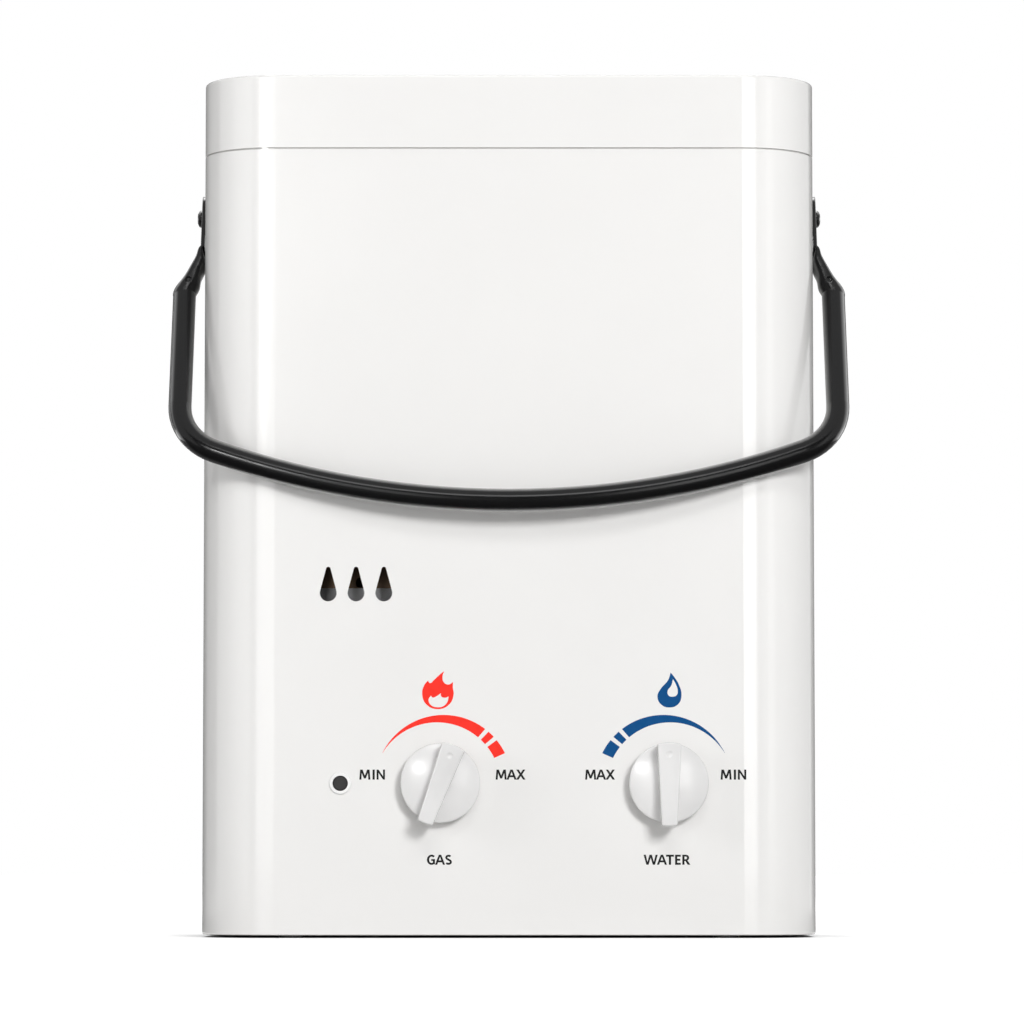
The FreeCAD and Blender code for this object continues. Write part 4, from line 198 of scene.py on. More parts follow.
def flame_print():
    """A plain flame with a smaller one left open in it."""
    curve = flat_curve("flame_print")
    add_outline(curve, [
        (0.0, -9.2, "round"), (-5.6, -6.9, "round"), (-7.6, -2.0, "round"), (-6.6, 2.4, "round"),
        (-4.8, 4.6, "sharp"), (-3.9, 3.4, "round"), (-1.9, 4.9, "round"), (0.2, 6.9, "round"),
        (3.0, 9.2, "sharp"), (2.2, 6.4, "round"), (2.9, 3.7, "round"), (5.2, 2.7, "round"),
        (7.3, 3.9, "sharp"), (7.2, 1.4, "round"), (7.6, -2.2, "round"), (5.5, -6.9, "round"),
    ])
    add_outline(curve, [
        (0.0, -8.3, "round"), (-3.4, -7.2, "round"), (-4.5, -4.6, "round"), (-3.4, -2.7, "sharp"),
        (-2.5, -3.6, "round"), (-0.6, -2.9, "round"), (1.4, -1.5, "sharp"), (1.6, -3.0, "round"),
        (3.2, -3.7, "round"), (5.2, -3.1, "sharp"), (4.6, -5.6, "round"), (2.9, -7.6, "round"),
    ])
    x, z = GAS_CENTRE.x + FLAME_SHIFT, GAS_CENTRE.z + ICON_RISE
    stamp("flame_print", curve, x, z, "print_red")


def drop_print():
    """A plain drop with a smaller one left open in it."""
    curve = flat_curve("drop_print")
    add_outline(curve, [
        (0.6, 8.5, "sharp"), (-0.6, 4.9, "round"), (-4.2, 0.6, "round"), (-5.8, -2.9, "round"),
        (-4.2, -6.8, "round"), (0.0, -8.4, "round"), (4.2, -6.8, "round"), (5.8, -2.7, "round"),
        (4.6, 2.6, "round"), (2.3, 6.4, "round"),
    ])
    add_outline(curve, [
        (1.7, 5.4, "sharp"), (0.9, 2.3, "round"), (-0.9, -0.5, "round"), (-0.4, -2.6, "round"),
        (1.6, -3.2, "round"), (3.6, -2.3, "round"), (4.0, -0.2, "round"), (3.2, 2.6, "round"),
    ])
    x, z = WATER_CENTRE.x + DROP_SHIFT, WATER_CENTRE.z + ICON_RISE
    stamp("drop_print", curve, x, z, "print_blue")


def bow(x, y, wide, high, start, end):
    """Points along an elliptic arc, between two angles in degrees."""
    steps = max(2, round(abs(end - start) / BOW_STEP))
    angles = [math.radians(start + (end - start) * k / steps) for k in range(steps + 1)]
    return [(x + wide * math.cos(a), y + high * math.sin(a)) for a in angles]


def outlined(path, half):
    """The outline of a stroke of even width along a path."""
    sides = []
    for k, (x, y) in enumerate(path):
        (x0, y0), (x1, y1) = path[max(k - 1, 0)], path[min(k + 1, len(path) - 1)]
        length = math.hypot(x1 - x0, y1 - y0)
        across, up = (y0 - y1) / length * half, (x1 - x0) / length * half
        sides.append(((x + across, y + up), (x - across, y - up)))
    return [left for left, right in sides] + [right for left, right in reversed(sides)]


def bolder(outline, amount):
    """An outline with its edges moved out by a small amount, or in where it is negative."""
    turn = sum(x0 * y1 - x1 * y0 for (x0, y0), (x1, y1) in zip(outline, outline[1:] + outline[:1]))
    grow = math.copysign(amount, amount * turn)
    moved = []
    for before, (x, y), after in zip(outline[-1:] + outline[:-1], outline, outline[1:] + outline[:1]):
        first = Vector((x - before[0], y - before[1])).normalized()
        second = Vector((after[0] - x, after[1] - y)).normalized()
        corner = Vector((first.y + second.y, -first.x - second.x))
        mitre = grow * 2 / max(corner.length_squared, 1.0)
        moved.append((x + corner.x * mitre, y + corner.y * mitre))
    return moved


def letter_shapes():
    """Each capital's width and outlines, as shares of its height."""
    left, right = (0.78 - STEM) / 2, (0.78 + STEM) / 2
    low, high = (1 - BAR) / 2, (1 + BAR) / 2
    top = 1 - BAR
    spine = bow(0.36, 0.735, 0.24, 0.18, 40, 235) + bow(0.34, 0.265, 0.26, 0.19, 55, -145)
    return {
        "I": (STEM, [[(0, 0), (STEM, 0), (STEM, 1), (0, 1)]]),
        "E": (0.55, [[
            (0, 0), (0.55, 0), (0.55, BAR), (STEM, BAR), (STEM, low), (0.5, low),
            (0.5, high), (STEM, high), (STEM, top), (0.55, top), (0.55, 1), (0, 1),
        ]]),
        "T": (0.78, [[
            (left, 0), (right, 0), (right, top), (0.78, top), (0.78, 1), (0, 1), (0, top), (left, top),
        ]]),
        "N": (0.83, [[
            (0, 0), (0.17, 0), (0.17, 0.7), (0.66, 0), (0.83, 0),
            (0.83, 1), (0.66, 1), (0.66, 0.3), (0.17, 1), (0, 1),
        ]]),
        "M": (1.1, [[
            (0, 0), (0.17, 0), (0.225, 0.68), (0.47, 0.12), (0.63, 0.12), (0.875, 0.68), (0.93, 0),
            (1.1, 0), (1.02, 1), (0.8, 1), (0.55, 0.38), (0.3, 1), (0.08, 1),
        ]]),
        "A": (1.0, [
            [(0, 0), (0.19, 0), (0.275, 0.25), (0.725, 0.25), (0.81, 0), (1, 0), (0.61, 1), (0.39, 1)],
            [(0.343, 0.41), (0.657, 0.41), (0.5, 0.83)],
        ]),
        "X": (0.92, [[
            (0, 0), (0.21, 0), (0.46, 0.37), (0.71, 0), (0.92, 0), (0.575, 0.51),
            (0.9, 1), (0.69, 1), (0.46, 0.65), (0.23, 1), (0.02, 1), (0.345, 0.51),
        ]]),
        "W": (1.42, [[
            (0, 1), (0.19, 1), (0.375, 0.26), (0.6, 1), (0.82, 1), (1.045, 0.26), (1.23, 1),
            (1.42, 1), (1.14, 0), (0.94, 0), (0.71, 0.74), (0.48, 0), (0.28, 0),
        ]]),
        "G": (0.82, [
            bow(0.46, 0.5, 0.46, 0.51, 48, 300)
            + [(0.8, 0.06), (0.8, 0.55), (0.45, 0.55), (0.45, 0.4), (0.62, 0.4), (0.62, 0.17)]
            + bow(0.46, 0.5, 0.27, 0.35, 298, 48),
        ]),
        "S": (0.68, [outlined(spine, HOOK)]),
        "R": (0.78, [
            [(0, 0), (STEM, 0), (STEM, 0.39), (0.31, 0.39), (0.55, 0), (0.78, 0), (0.5, 0.43)]
            + bow(0.36, 0.705, 0.31, 0.295, -60, 90) + [(0, 1)],
            [(STEM, 0.53)] + bow(0.34, 0.69, 0.14, 0.155, -90, 90) + [(STEM, 0.845)],
        ]),
    }


def word_print(name, word, x, z):
    """Capital letters, set in the middle of (x, z)."""
    shapes = letter_shapes()
    starts = [0.0]
    for pair in zip(word, word[1:]):
        starts.append(starts[-1] + shapes[pair[0]][0] + LETTER_GAPS["".join(pair)])
    width = starts[-1] + shapes[word[-1]][0]
    curve = flat_curve(name)
    for letter, start in zip(word, starts):
        for k, outline in enumerate(shapes[letter][1]):
            fat = bolder(outline, -BOLDER if k else BOLDER)
            add_polygon(curve, [((start + u - width / 2) * CAPS, (v - 0.5) * CAPS) for u, v in fat])
    stamp(name, curve, x, z, "print_grey")


def words():
    for name, (word, knob, across, rise) in WORDS.items():
        word_print(name, word, knob.x + across, knob.z + rise)


# ---- threaded hose fittings

def hexagon_radius(angle, inscribed):
    sector = math.radians(60)
    return inscribed / math.cos((angle + sector / 2) % sector - sector / 2)


def fitting_rows(name):
    """The fitting's skin as rings, each a radius at every angle and a height.

    They run down the bore from its blind end, and up the thread and the hexagon to the tail's end."""
    place = mount[name]
    major = place["dims"]["r_mm"]
    length = place["dims"]["length_mm"]
    low = place["pos_m"][2] / MM - length / 2
    top = low + length
    seat = top + HEX_HEIGHT
    bore = BORE[name]
    pitch = PITCH[name]
    depth = pitch * THREAD_DEPTH
    inscribed = major + HEX_MARGIN
    tail_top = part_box(name + "_fitting")[1].z / MM
    around = inscribed / math.cos(math.radians(30))

    def plain(radius):
        return lambda angle: radius

    def thread(z):
        def radius(angle):
            turn = (z / pitch - angle / (2 * math.pi)) % 1.0
            crest = abs(2 * turn - 1)
            fade = min(1.0, max(0.0, (top - THREAD_RELIEF - z) / pitch))
            lead = min(1.0, max(0.0, (z - low) / (THREAD_LEAD * pitch)))
            groove = depth * (1 - crest) * fade
            if z > top - THREAD_RELIEF:
                groove = depth
            return major - max(groove, depth * (1 - lead))
        return radius

    def bounded_hex(limit):
        return lambda angle: min(hexagon_radius(angle, inscribed), limit)

    rows = [(plain(bore), seat + BORE_RISE), (plain(bore), low + MOUTH_CHAMFER)]
    rows.append((plain(bore + MOUTH_CHAMFER), low))
    count = round((top - low) / pitch * THREAD_STEPS)
    heights = [low + (top - low) * k / count for k in range(count + 1)]
    rows += [(thread(z), z) for z in heights]
    rows.append((bounded_hex(inscribed - HEX_EASE), top))
    rows.append((bounded_hex(around), top + HEX_CHAMFER * 2))
    rows.append((bounded_hex(around), seat - HEX_CHAMFER * 2))
    rows.append((bounded_hex(inscribed - HEX_EASE), seat))
    rows.append((plain(TAIL[name]), seat))
    rows.append((plain(TAIL[name]), tail_top))
    return rows


def threaded_fitting(name):
    """A hose fitting with a real thread and a chamfered hexagon, in place of the plain one."""
    node = name + "_fitting"
    centre = mount[name]["pos_m"]
    skin = bmesh.new()
    rings = []
    for radius, z in fitting_rows(name):
        ring = []
        for k in range(TURN_SEGMENTS):
            angle = 2 * math.pi * k / TURN_SEGMENTS
            r = radius(angle) * MM
            point = (centre[0] + r * math.cos(angle), centre[1] + r * math.sin(angle), z * MM)
            ring.append(skin.verts.new(point))
        rings.append(ring)
    for lower, upper in zip(rings, rings[1:]):
        for k in range(TURN_SEGMENTS):
            n = (k + 1) % TURN_SEGMENTS
            skin.faces.new((lower[k], lower[n], upper[n], upper[k]))
    skin.faces.new(rings[0])
    skin.faces.new(rings[-1])
    bmesh.ops.recalc_face_normals(skin, faces=skin.faces)
    mesh = bpy.data.meshes.new(name + "_threaded")
    skin.to_mesh(mesh)
    skin.free()
    mesh.shade_smooth()
    mesh.set_sharp_from_angle(angle=math.radians(SMOOTH_BELOW))
    piece = add_piece(name + "_threaded", mesh, "case", "brass")
    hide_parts(node)


# ---- materials

EDGE_SAMPLES = 4
NOISE_RANGE = (0.3, 0.7)     # where nearly all of a noise's values lie
CLOUD_RANGE = (0.35, 0.65)   # a narrower part of it, for clearer patches
JACKET_BAND = (0.74, 0.76)   # of the cells' height, between which the dark jacket turns bright


def combined(tree, operation, first, second):
    """Two values of a node tree brought together by a math node."""
    node = tree.nodes.new("ShaderNodeMath")
    node.operation = operation
    tree.links.new(first, node.inputs[0])
    tree.links.new(second, node.inputs[1])
    return node.outputs[0]


def ranged(tree, value, source, target):
    """A value taken from one range to another, and kept inside it."""
    node = tree.nodes.new("ShaderNodeMapRange")
    node.inputs["From Min"].default_value, node.inputs["From Max"].default_value = source
    node.inputs["To Min"].default_value, node.inputs["To Max"].default_value = target
    tree.links.new(value, node.inputs["Value"])
    return node.outputs["Result"]


class Paint:
    """A material being mixed: one principled shader and the nodes that vary it."""

    def __init__(self, name, metallic=0.0):
        self.material = bpy.data.materials.new(name)
        self.material.use_nodes = True
        self.tree = self.material.node_tree
        self.nodes = self.tree.nodes
        self.links = self.tree.links
        self.shader = self.nodes["Principled BSDF"]
        self.shader.inputs["Metallic"].default_value = metallic
        self.place = self.nodes.new("ShaderNodeTexCoord").outputs["Object"]
        self.normal = None

    def set(self, **values):
        """Constants of the shader, each under its socket's name with _ for a space."""
        for name, value in values.items():
            socket = name.replace("_", " ").title().replace("Ior", "IOR")
            self.shader.inputs[socket].default_value = value

    def stretched(self, x, y, z):
        """The object's coordinates, stretched along the axes."""
        mapping = self.nodes.new("ShaderNodeMapping")
        mapping.inputs["Scale"].default_value = (x, y, z)
        self.links.new(self.place, mapping.inputs["Vector"])
        return mapping.outputs["Vector"]

    def noise(self, scale, detail=3.0, roughness=0.5, place=None):
        node = self.nodes.new("ShaderNodeTexNoise")
        node.inputs["Scale"].default_value = scale
        node.inputs["Detail"].default_value = detail
        node.inputs["Roughness"].default_value = roughness
        self.links.new(place or self.place, node.inputs["Vector"])
        return node.outputs["Fac"]

    def clouds(self, scale, detail=3.0, roughness=0.5):
        """A noise drawn out to run from 0 to 1."""
        return self.spread(self.noise(scale, detail, roughness), *CLOUD_RANGE, 0, 1)

    def cells(self, scale):
        node = self.nodes.new("ShaderNodeTexVoronoi")
        node.inputs["Scale"].default_value = scale
        self.links.new(self.place, node.inputs["Vector"])
        return node.outputs["Color"]

    def axes(self):
        """The x, y and z coordinates, in metres."""
        node = self.nodes.new("ShaderNodeSeparateXYZ")
        self.links.new(self.place, node.inputs["Vector"])
        return node.outputs

    def inside(self, low, high, margin):
        """1 inside a box and 0 outside it, over a soft margin of so many metres."""
        share = None
        for value, start, end in zip(self.axes(), low, high):
            for edge, beyond in ((start, start - margin), (end, end + margin)):
                within = self.spread(value, beyond, edge, 0, 1)
                share = combined(self.tree, "MULTIPLY", share, within) if share else within
        return share

    def spread(self, value, low, high, new_low, new_high):
        return ranged(self.tree, value, (low, high), (new_low, new_high))

    def blend(self, factor, first, second):
        """A colour between two, each a colour or another node's output."""
        node = self.nodes.new("ShaderNodeMix")
        node.data_type = "RGBA"
        self.links.new(factor, node.inputs["Factor"])
        for socket, value in ((node.inputs[6], first), (node.inputs[7], second)):
            if isinstance(value, tuple):
                socket.default_value = (*value, 1)
            else:
                self.links.new(value, socket)
        return node.outputs[2]

    def colour(self, output):
        self.links.new(output, self.shader.inputs["Base Color"])

    def rough(self, value, low, high):
        """Roughness between two values, as a noise goes through its range."""
        roughness = self.spread(value, *NOISE_RANGE, low, high)
        self.links.new(roughness, self.shader.inputs["Roughness"])

    def bump(self, value, distance):
        """Raises the surface by up to `distance` metres where the value is 1."""
        node = self.nodes.new("ShaderNodeBump")
        node.inputs["Distance"].default_value = distance
        self.links.new(value, node.inputs["Height"])
        if self.normal:
            self.links.new(self.normal, node.inputs["Normal"])
        self.normal = node.outputs["Normal"]
        self.links.new(self.normal, self.shader.inputs["Normal"])

    def gloss_at_edges(self, start, full):
        """A clear coat where the surface turns away from the eye: none at `start`, whole at `full`."""
        node = self.nodes.new("ShaderNodeLayerWeight")
        node.inputs["Blend"].default_value = 0.5
        coat = self.spread(node.outputs["Facing"], start, full, 0, 1)
        self.links.new(coat, self.shader.inputs["Coat Weight"])

    def soft_edges(self, radius):
        """Rounds the sharp edges' shading by a small radius, in metres."""
        node = self.nodes.new("ShaderNodeBevel")
        node.samples = EDGE_SAMPLES
        node.inputs["Radius"].default_value = radius
        self.normal = node.outputs["Normal"]
        self.links.new(self.normal, self.shader.inputs["Normal"])
        return self


def white_coat(name, colour, roughness, peel):
    """Gloss powder coat: a faint orange peel under a clear film, with slightly uneven shine."""
    paint = Paint(name).soft_edges(0.25 * MM)
    tint = tuple(channel * 0.985 for channel in colour)
    paint.colour(paint.blend(paint.clouds(14.0), colour, tint))
    paint.rough(paint.noise(60.0, 4.0), roughness * 0.85, roughness * 1.15)
    paint.bump(paint.noise(420.0, 2.0), peel)
    paint.set(coat_weight=0.35, coat_roughness=0.05, coat_ior=1.5)
    return paint.material


def black_coat():
    """Satin black powder coat with a fine grain, and light edges where it mirrors the case."""
    paint = Paint("bail_black").soft_edges(0.3 * MM)
    paint.colour(paint.blend(paint.noise(900.0, 2.0), (0.0018, 0.0018, 0.002), (0.0045, 0.0045, 0.0048)))
    paint.rough(paint.noise(120.0, 4.0), 0.16, 0.22)
    paint.bump(paint.noise(1500.0, 2.0), 0.01 * MM)
    paint.set(specular_ior_level=0.3, coat_ior=3.2, coat_roughness=0.08)
    paint.gloss_at_edges(start=0.3, full=0.62)
    return paint.material


def moulded(name, colour, roughness, grain, depth):
    """Moulded plastic or rubber: an even colour with a fine eroded grain."""
    paint = Paint(name).soft_edges(0.3 * MM)
    lighter = tuple(min(1.0, channel * 1.12 + 0.002) for channel in colour)
    paint.colour(paint.blend(paint.clouds(25.0), colour, lighter))
    paint.rough(paint.noise(grain * 0.3, 3.0), roughness * 0.88, roughness * 1.1)
    paint.bump(paint.noise(grain, 3.0, 0.6), depth)
    return paint.material


def galvanised():
    """Hot-dip galvanised sheet in spangles of grey, darker on the burner box."""
    paint = Paint("galvanised", metallic=1.0).soft_edges(0.2 * MM)
    spangle = paint.cells(190.0)
    bright = paint.blend(spangle, (0.40, 0.41, 0.425), (0.60, 0.61, 0.62))
    dull = paint.blend(spangle, (0.26, 0.26, 0.265), (0.38, 0.38, 0.385))
    paint.colour(paint.blend(paint.inside(*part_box("burner_box"), SCORCH_MARGIN), bright, dull))
    paint.rough(spangle, 0.30, 0.46)
    paint.bump(paint.noise(700.0, 3.0), 0.015 * MM)
    return paint.material


def brushed(name, dark, light, along, low, high):
    """Sheet brushed along one axis, with fine streaks."""
    paint = Paint(name, metallic=1.0).soft_edges(0.2 * MM)
    stretch = [1.0 if axis == along else 40.0 for axis in "xyz"]
    streak = paint.noise(60.0, 5.0, 0.65, paint.stretched(*stretch))
    paint.colour(paint.blend(paint.spread(streak, *NOISE_RANGE, 0, 1), dark, light))
    paint.rough(streak, low, high)
    paint.bump(streak, 0.01 * MM)
    return paint.material


def plated(name, dark, light, low, high):
    """Plated or machined metal with clouded shine and faint stains."""
    paint = Paint(name, metallic=1.0).soft_edges(0.15 * MM)
    cloud = paint.noise(90.0, 4.0, 0.6)
    paint.colour(paint.blend(paint.spread(cloud, *NOISE_RANGE, 0, 1), dark, light))
    paint.rough(paint.noise(400.0, 3.0), low, high)
    paint.bump(paint.noise(1800.0, 2.0), 0.006 * MM)
    return paint.material


def copper():
    """Copper sheet and pipe in brown clouds, burnt dark on the chamber over the burner."""
    paint = Paint("copper", metallic=1.0).soft_edges(0.2 * MM)
    cloud = paint.clouds(28.0, 5.0, 0.6)
    stained = paint.blend(cloud, (0.30, 0.17, 0.10), (0.62, 0.33, 0.20))
    clean = paint.blend(paint.spread(paint.noise(160.0), 0.4, 0.7, 0, 0.5), stained, (0.75, 0.42, 0.28))
    burnt = paint.blend(cloud, (0.16, 0.11, 0.073), (0.25, 0.175, 0.118))
    low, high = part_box("combustion_chamber")
    high = Vector((high.x, high.y, low.z + (high.z - low.z) * SCORCH_SHARE))
    paint.colour(paint.blend(paint.inside(low, high, SCORCH_MARGIN), clean, burnt))
    paint.rough(paint.noise(60.0, 4.0), 0.25, 0.5)
    paint.bump(paint.noise(500.0, 3.0), 0.02 * MM)
    return paint.material


def cell_jacket():
    """A dry cell's film jacket: dark with a bright band round its top."""
    paint = Paint("cell_jacket").soft_edges(0.3 * MM)
    low, high = (corner.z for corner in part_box("battery_cells"))
    start, end = (low + (high - low) * share for share in JACKET_BAND)
    band = paint.spread(paint.axes()["Z"], start, end, 0, 1)
    paint.colour(paint.blend(band, (0.035, 0.04, 0.05), (0.42, 0.36, 0.22)))
    paint.rough(paint.noise(200.0), 0.24, 0.36)
    paint.bump(paint.noise(900.0, 2.0), 0.008 * MM)
    return paint.material


def ink(name, colour):
    """Screen-printed ink: nearly even, with the mesh's faint texture."""
    paint = Paint(name)
    thin = tuple(min(1.0, channel * 1.06 + 0.003) for channel in colour)
    paint.colour(paint.blend(paint.clouds(240.0), colour, thin))
    paint.rough(paint.noise(300.0), 0.32, 0.42)
    paint.bump(paint.noise(2600.0, 2.0), 0.004 * MM)
    paint.set(specular_ior_level=0.1)
    return paint.material


MATERIALS = {
    "case_white": white_coat("case_white", (0.88, 0.872, 0.858), 0.14, 0.003 * MM),
    "knob_white": moulded("knob_white", (0.73, 0.725, 0.72), 0.2, 1200.0, 0.002 * MM),
    "bezel_white": moulded("bezel_white", (0.86, 0.855, 0.85), 0.28, 1200.0, 0.004 * MM),
    "button_dark": moulded("button_dark", (0.017, 0.016, 0.016), 0.42, 1500.0, 0.01 * MM),
    "bail_black": black_coat(),
    "nylon_black": moulded("nylon_black", (0.02, 0.02, 0.02), 0.5, 900.0, 0.01 * MM),
    "rubber_black": moulded("rubber_black", (0.018, 0.018, 0.018), 0.75, 700.0, 0.03 * MM),
    "plastic_black": moulded("plastic_black", (0.025, 0.025, 0.027), 0.5, 800.0, 0.02 * MM),
    "galvanised": galvanised(),
    "stainless": brushed("stainless", (0.42, 0.41, 0.40), (0.62, 0.61, 0.60), "x", 0.22, 0.38),
    "zinc_steel": plated("zinc_steel", (0.52, 0.53, 0.55), (0.66, 0.67, 0.68), 0.22, 0.36),
    "copper": copper(),
    "brass": plated("brass", (0.58, 0.42, 0.18), (0.80, 0.62, 0.32), 0.18, 0.34),
    "cast_aluminium": plated("cast_aluminium", (0.48, 0.48, 0.49), (0.64, 0.64, 0.65), 0.42, 0.6),
    "ceramic_white": moulded("ceramic_white", (0.78, 0.77, 0.73), 0.6, 1500.0, 0.01 * MM),
    "cell_jacket": cell_jacket(),
    "print_red": ink("print_red", (0.93, 0.035, 0.022)),
    "print_blue": ink("print_blue", (0.002, 0.07, 0.225)),
    "print_grey": ink("print_grey", (0.017, 0.017, 0.017)),
}


def dress_nodes():
    """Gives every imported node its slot's material."""
    for part in frame["record"]["subparts"]:
        node = frame["nodes"][part["node"]]
        for slot in node.material_slots:
            slot.material = MATERIALS[part["material_slot"]]


# ---- studio

FLOOR_HALF = 12.0
WHITE = (1.0, 1.0, 1.0, 1.0)
AMBIENT = 0.15
LIGHT_AIM = 0.2              # height of the point that all lamps face
FLOOR_COLOUR = 0.7
FLOOR_LIFT = (0.64, 1.0)     # glow of the floor where it is seen, beside the object and far from it
FADE_REACH = (0.3, 1.8)      # the distances from the object's middle for these two
CONTACT_REACH = 0.045        # the glow fades beside the case within this distance
COVER_REACH = 0.2            # and stops where nearly all that is above lies closer than this
COVER_RANGE = (0.15, 0.4)
NEAR_SAMPLES = 16            # for both of these
FLAG_HEIGHT = 0.002          # of the cards that lie on the floor
FLAGS = {                    # grey, two opposite corners
    "flag_left": (0.15, (-1.0, 1.0, 0.0), (-0.25, 1.0, 1.0)),
    "flag_far_left": (0.6, (-4.0, 1.0, 0.0), (-1.0, 1.0, 1.2)),
    "flag_right": (0.15, (0.25, 1.0, 0.0), (1.0, 1.0, 1.0)),
    "flag_front": (0.15, (-2.5, -2.8, 0.0), (2.5, -2.8, 2.4)),
    "flag_floor": (0.15, (-2.5, -2.8, FLAG_HEIGHT), (2.5, -0.08, FLAG_HEIGHT)),
    "flag_floor_left": (0.15, (-0.8, -0.2, FLAG_HEIGHT), (-0.16, 0.8, FLAG_HEIGHT)),
    "flag_floor_right": (0.15, (0.16, -0.2, FLAG_HEIGHT), (0.8, 0.8, FLAG_HEIGHT)),
}
LAMPS = {                    # turn, distance and height; size; radiance; the rays that miss it
    "left_box": ((20, 2.0, 0.44), (0.98, 0.84), 1.9, "diffuse"),
    "right_box": ((-18.5, 2.0, 0.44), (0.56, 0.84), 3.0, "diffuse"),
    "side_box": ((-45, 2.0, 0.44), (0.7, 0.84), 0.6, None),
    "top_box": ((0, 2.0, 1.8), (1.2, 0.5), 5.5, None),
    "left_fill": ((65, 2.0, 0.6), (0.8, 0.8), 3.6, "glossy"),
    "back_left": ((145, 2.4, 1.3), (1.0, 1.0), 4.2, "glossy"),
    "back_right": ((-145, 2.4, 1.3), (1.0, 1.0), 4.2, "glossy"),
    "overhead": ((180, 0.8, 2.2), (1.0, 1.0), 2.2, None),
    "left_spot": ((24, 1.95, 0.62), (0.3, 0.26), 24.0, "diffuse"),
    "key": ((-19, 4.0, 1.45), (0.95, 0.95), 35.5, "glossy"),
}


def sheet(name, corners, material):
    """A flat piece of the studio between four corners."""
    mesh = bpy.data.meshes.new(name)
    mesh.from_pydata(corners, [], [(0, 1, 2, 3)])
    mesh.materials.append(material)
    piece = bpy.data.objects.new(name, mesh)
    bpy.context.scene.collection.objects.link(piece)
    return piece


def rays(tree, *kinds):
    """1 for the rays of these kinds and 0 for all others."""
    path = tree.nodes.new("ShaderNodeLightPath")
    total = path.outputs[kinds[0]]
    for kind in kinds[1:]:
        total = combined(tree, "MAXIMUM", total, path.outputs[kind])
    return total


def openness(tree, distance):
    """How little there is over a point of the floor within a distance."""
    node = tree.nodes.new("ShaderNodeAmbientOcclusion")
    node.samples = NEAR_SAMPLES
    node.inputs["Distance"].default_value = distance
    return node.outputs["AO"]


def floor_white():
    """A matt white that also glows where it is seen, though not under the case or close beside it; taking the glow
    away there paints a darker contact shadow over the real one.
    """
    material = bpy.data.materials.new("floor")
    material.use_nodes = True
    tree = material.node_tree
    tree.nodes.clear()
    away = tree.nodes.new("ShaderNodeVectorMath")
    away.operation = "LENGTH"
    tree.links.new(tree.nodes.new("ShaderNodeTexCoord").outputs["Object"], away.inputs[0])
    lift = ranged(tree, away.outputs["Value"], FADE_REACH, FLOOR_LIFT)
    strength = combined(tree, "MULTIPLY", rays(tree, "Is Camera Ray", "Is Glossy Ray"), lift)
    # Painted contact shadow: occlusion dims the glow beside the case and takes it away under it. The real shadow
    # in the matt white is still there under it.
    strength = combined(tree, "MULTIPLY", strength, openness(tree, CONTACT_REACH))
    uncovered = ranged(tree, openness(tree, COVER_REACH), COVER_RANGE, (0.0, 1.0))
    strength = combined(tree, "MULTIPLY", strength, uncovered)
    matt = tree.nodes.new("ShaderNodeBsdfDiffuse")
    matt.inputs["Color"].default_value = (FLOOR_COLOUR, FLOOR_COLOUR, FLOOR_COLOUR, 1)
    glow = tree.nodes.new("ShaderNodeEmission")
    tree.links.new(strength, glow.inputs["Strength"])
    both = tree.nodes.new("ShaderNodeAddShader")
    tree.links.new(matt.outputs[0], both.inputs[0])
    tree.links.new(glow.outputs[0], both.inputs[1])
    out = tree.nodes.new("ShaderNodeOutputMaterial")
    tree.links.new(both.outputs[0], out.inputs["Surface"])
    return material


def floor():
    """A white floor that keeps the shadow and meets the white backdrop without an edge."""
    s = FLOOR_HALF
    piece = sheet("floor", [(-s, -s, 0), (s, -s, 0), (s, s, 0), (-s, s, 0)], floor_white())


def backdrop():
    """A white world: full white where it is seen, softer where it lights."""
    world = bpy.data.worlds.new("studio")
    bpy.context.scene.world = world
    world.use_nodes = True
    tree = world.node_tree
    tree.nodes.clear()
    mix = tree.nodes.new("ShaderNodeMixShader")
    seen = rays(tree, "Is Camera Ray", "Is Glossy Ray", "Is Transmission Ray")
    tree.links.new(seen, mix.inputs[0])
    for socket, strength in ((mix.inputs[1], AMBIENT), (mix.inputs[2], 1.0)):
        white = tree.nodes.new("ShaderNodeBackground")
        white.inputs["Color"].default_value = WHITE
        white.inputs["Strength"].default_value = strength
        tree.links.new(white.outputs[0], socket)
    out = tree.nodes.new("ShaderNodeOutputWorld")
    tree.links.new(mix.outputs[0], out.inputs["Surface"])


def beside(turn, distance, height):
    """A place round the panel's middle: in front of it, and turned to the left by so many degrees."""
    angle = math.radians(turn)
    return Vector((-distance * math.sin(angle), PANEL_Y - distance * math.cos(angle), height))


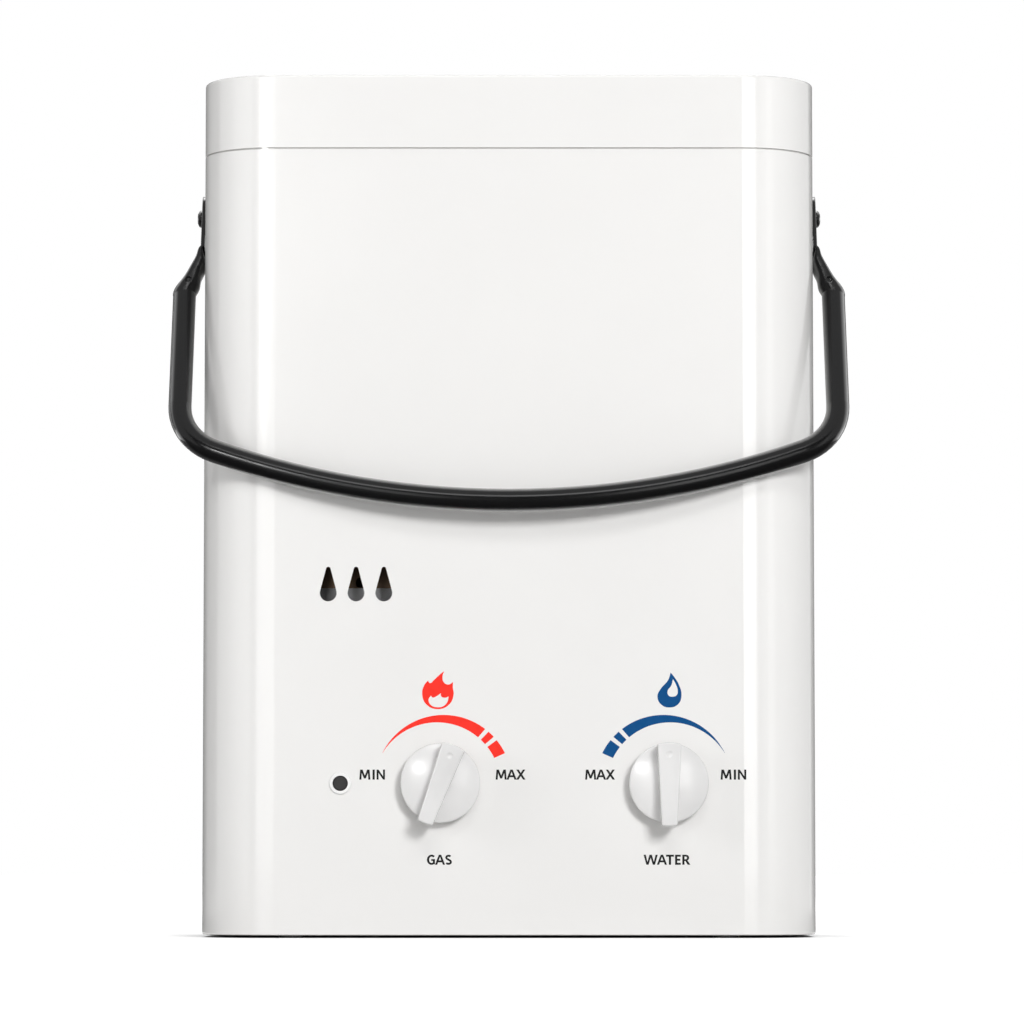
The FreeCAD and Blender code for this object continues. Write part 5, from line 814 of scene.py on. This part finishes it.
def soft_box(name, place, width, height, radiance):
    """A rectangular soft box of one brightness, facing the panel."""
    light = bpy.data.lights.new(name, "AREA")
    light.shape = "RECTANGLE"
    light.size = width
    light.size_y = height
    light.energy = radiance * math.pi * width * height
    lamp = bpy.data.objects.new(name, light)
    lamp.location = place
    aim = Vector((0.0, PANEL_Y, LIGHT_AIM)) - place
    lamp.rotation_euler = aim.to_track_quat("-Z", "Y").to_euler()
    bpy.context.scene.collection.objects.link(lamp)
    return lamp


def plain_grey(name, grey):
    material = bpy.data.materials.new(name)
    material.use_nodes = True
    material.node_tree.nodes["Principled BSDF"].inputs["Base Color"].default_value = (grey, grey, grey, 1)
    return material


def flag(name, grey, low, high):
    """A grey card between two corners that only reflections see, as the unlit parts of a studio."""
    (x0, y0, z0), (x1, y1, z1) = low, high
    corners = [(x0, y0, z0), (x1, y0, z0), (x1, y1, z1), (x0, y1, z1)]
    card = sheet(name, corners, plain_grey(name, grey))
    card.visible_camera = False
    card.visible_diffuse = False
    card.visible_shadow = False


def lights():
    """Tall boxes draw the bright bands on the case's corners, and the key throws the knobs' shadows."""
    for name, (spot, size, radiance, missed_by) in LAMPS.items():
        lamp = soft_box(name, beside(*spot), *size, radiance)
        lamp.visible_diffuse = missed_by != "diffuse"
        lamp.visible_glossy = missed_by != "glossy"
    for name, (grey, low, high) in FLAGS.items():
        flag(name, grey, low, high)


# ---- camera: level with the lower part of the case, looking slightly up

CAMERA_LENS = 171.9
CAMERA_SENSOR = 36.0
CAMERA_X = 1.51
CAMERA_Z = 35.87
CAMERA_BACK = 2363.4         # in front of the panel
CAMERA_PITCH = 4.11


def camera():
    data = bpy.data.cameras.new("camera")
    data.lens = CAMERA_LENS
    data.sensor_width = CAMERA_SENSOR
    data.clip_end = 100
    eye = bpy.data.objects.new("camera", data)
    eye.location = (CAMERA_X * MM, PANEL_Y - CAMERA_BACK * MM, CAMERA_Z * MM)
    eye.rotation_euler = (math.radians(90 + CAMERA_PITCH), 0, 0)
    bpy.context.scene.collection.objects.link(eye)
    bpy.context.scene.camera = eye


def build():
    dress_nodes()
    scale_arc("gas_arc_print", GAS_CENTRE, 1, "print_red")
    scale_arc("water_arc_print", WATER_CENTRE, -1, "print_blue")
    flame_print()
    drop_print()
    words()
    for name in PITCH:
        threaded_fitting(name)
    floor()
    backdrop()
    lights()
    camera()
    bpy.context.scene.view_settings.view_transform = "Standard"


build()
bpy.context.view_layer.update()
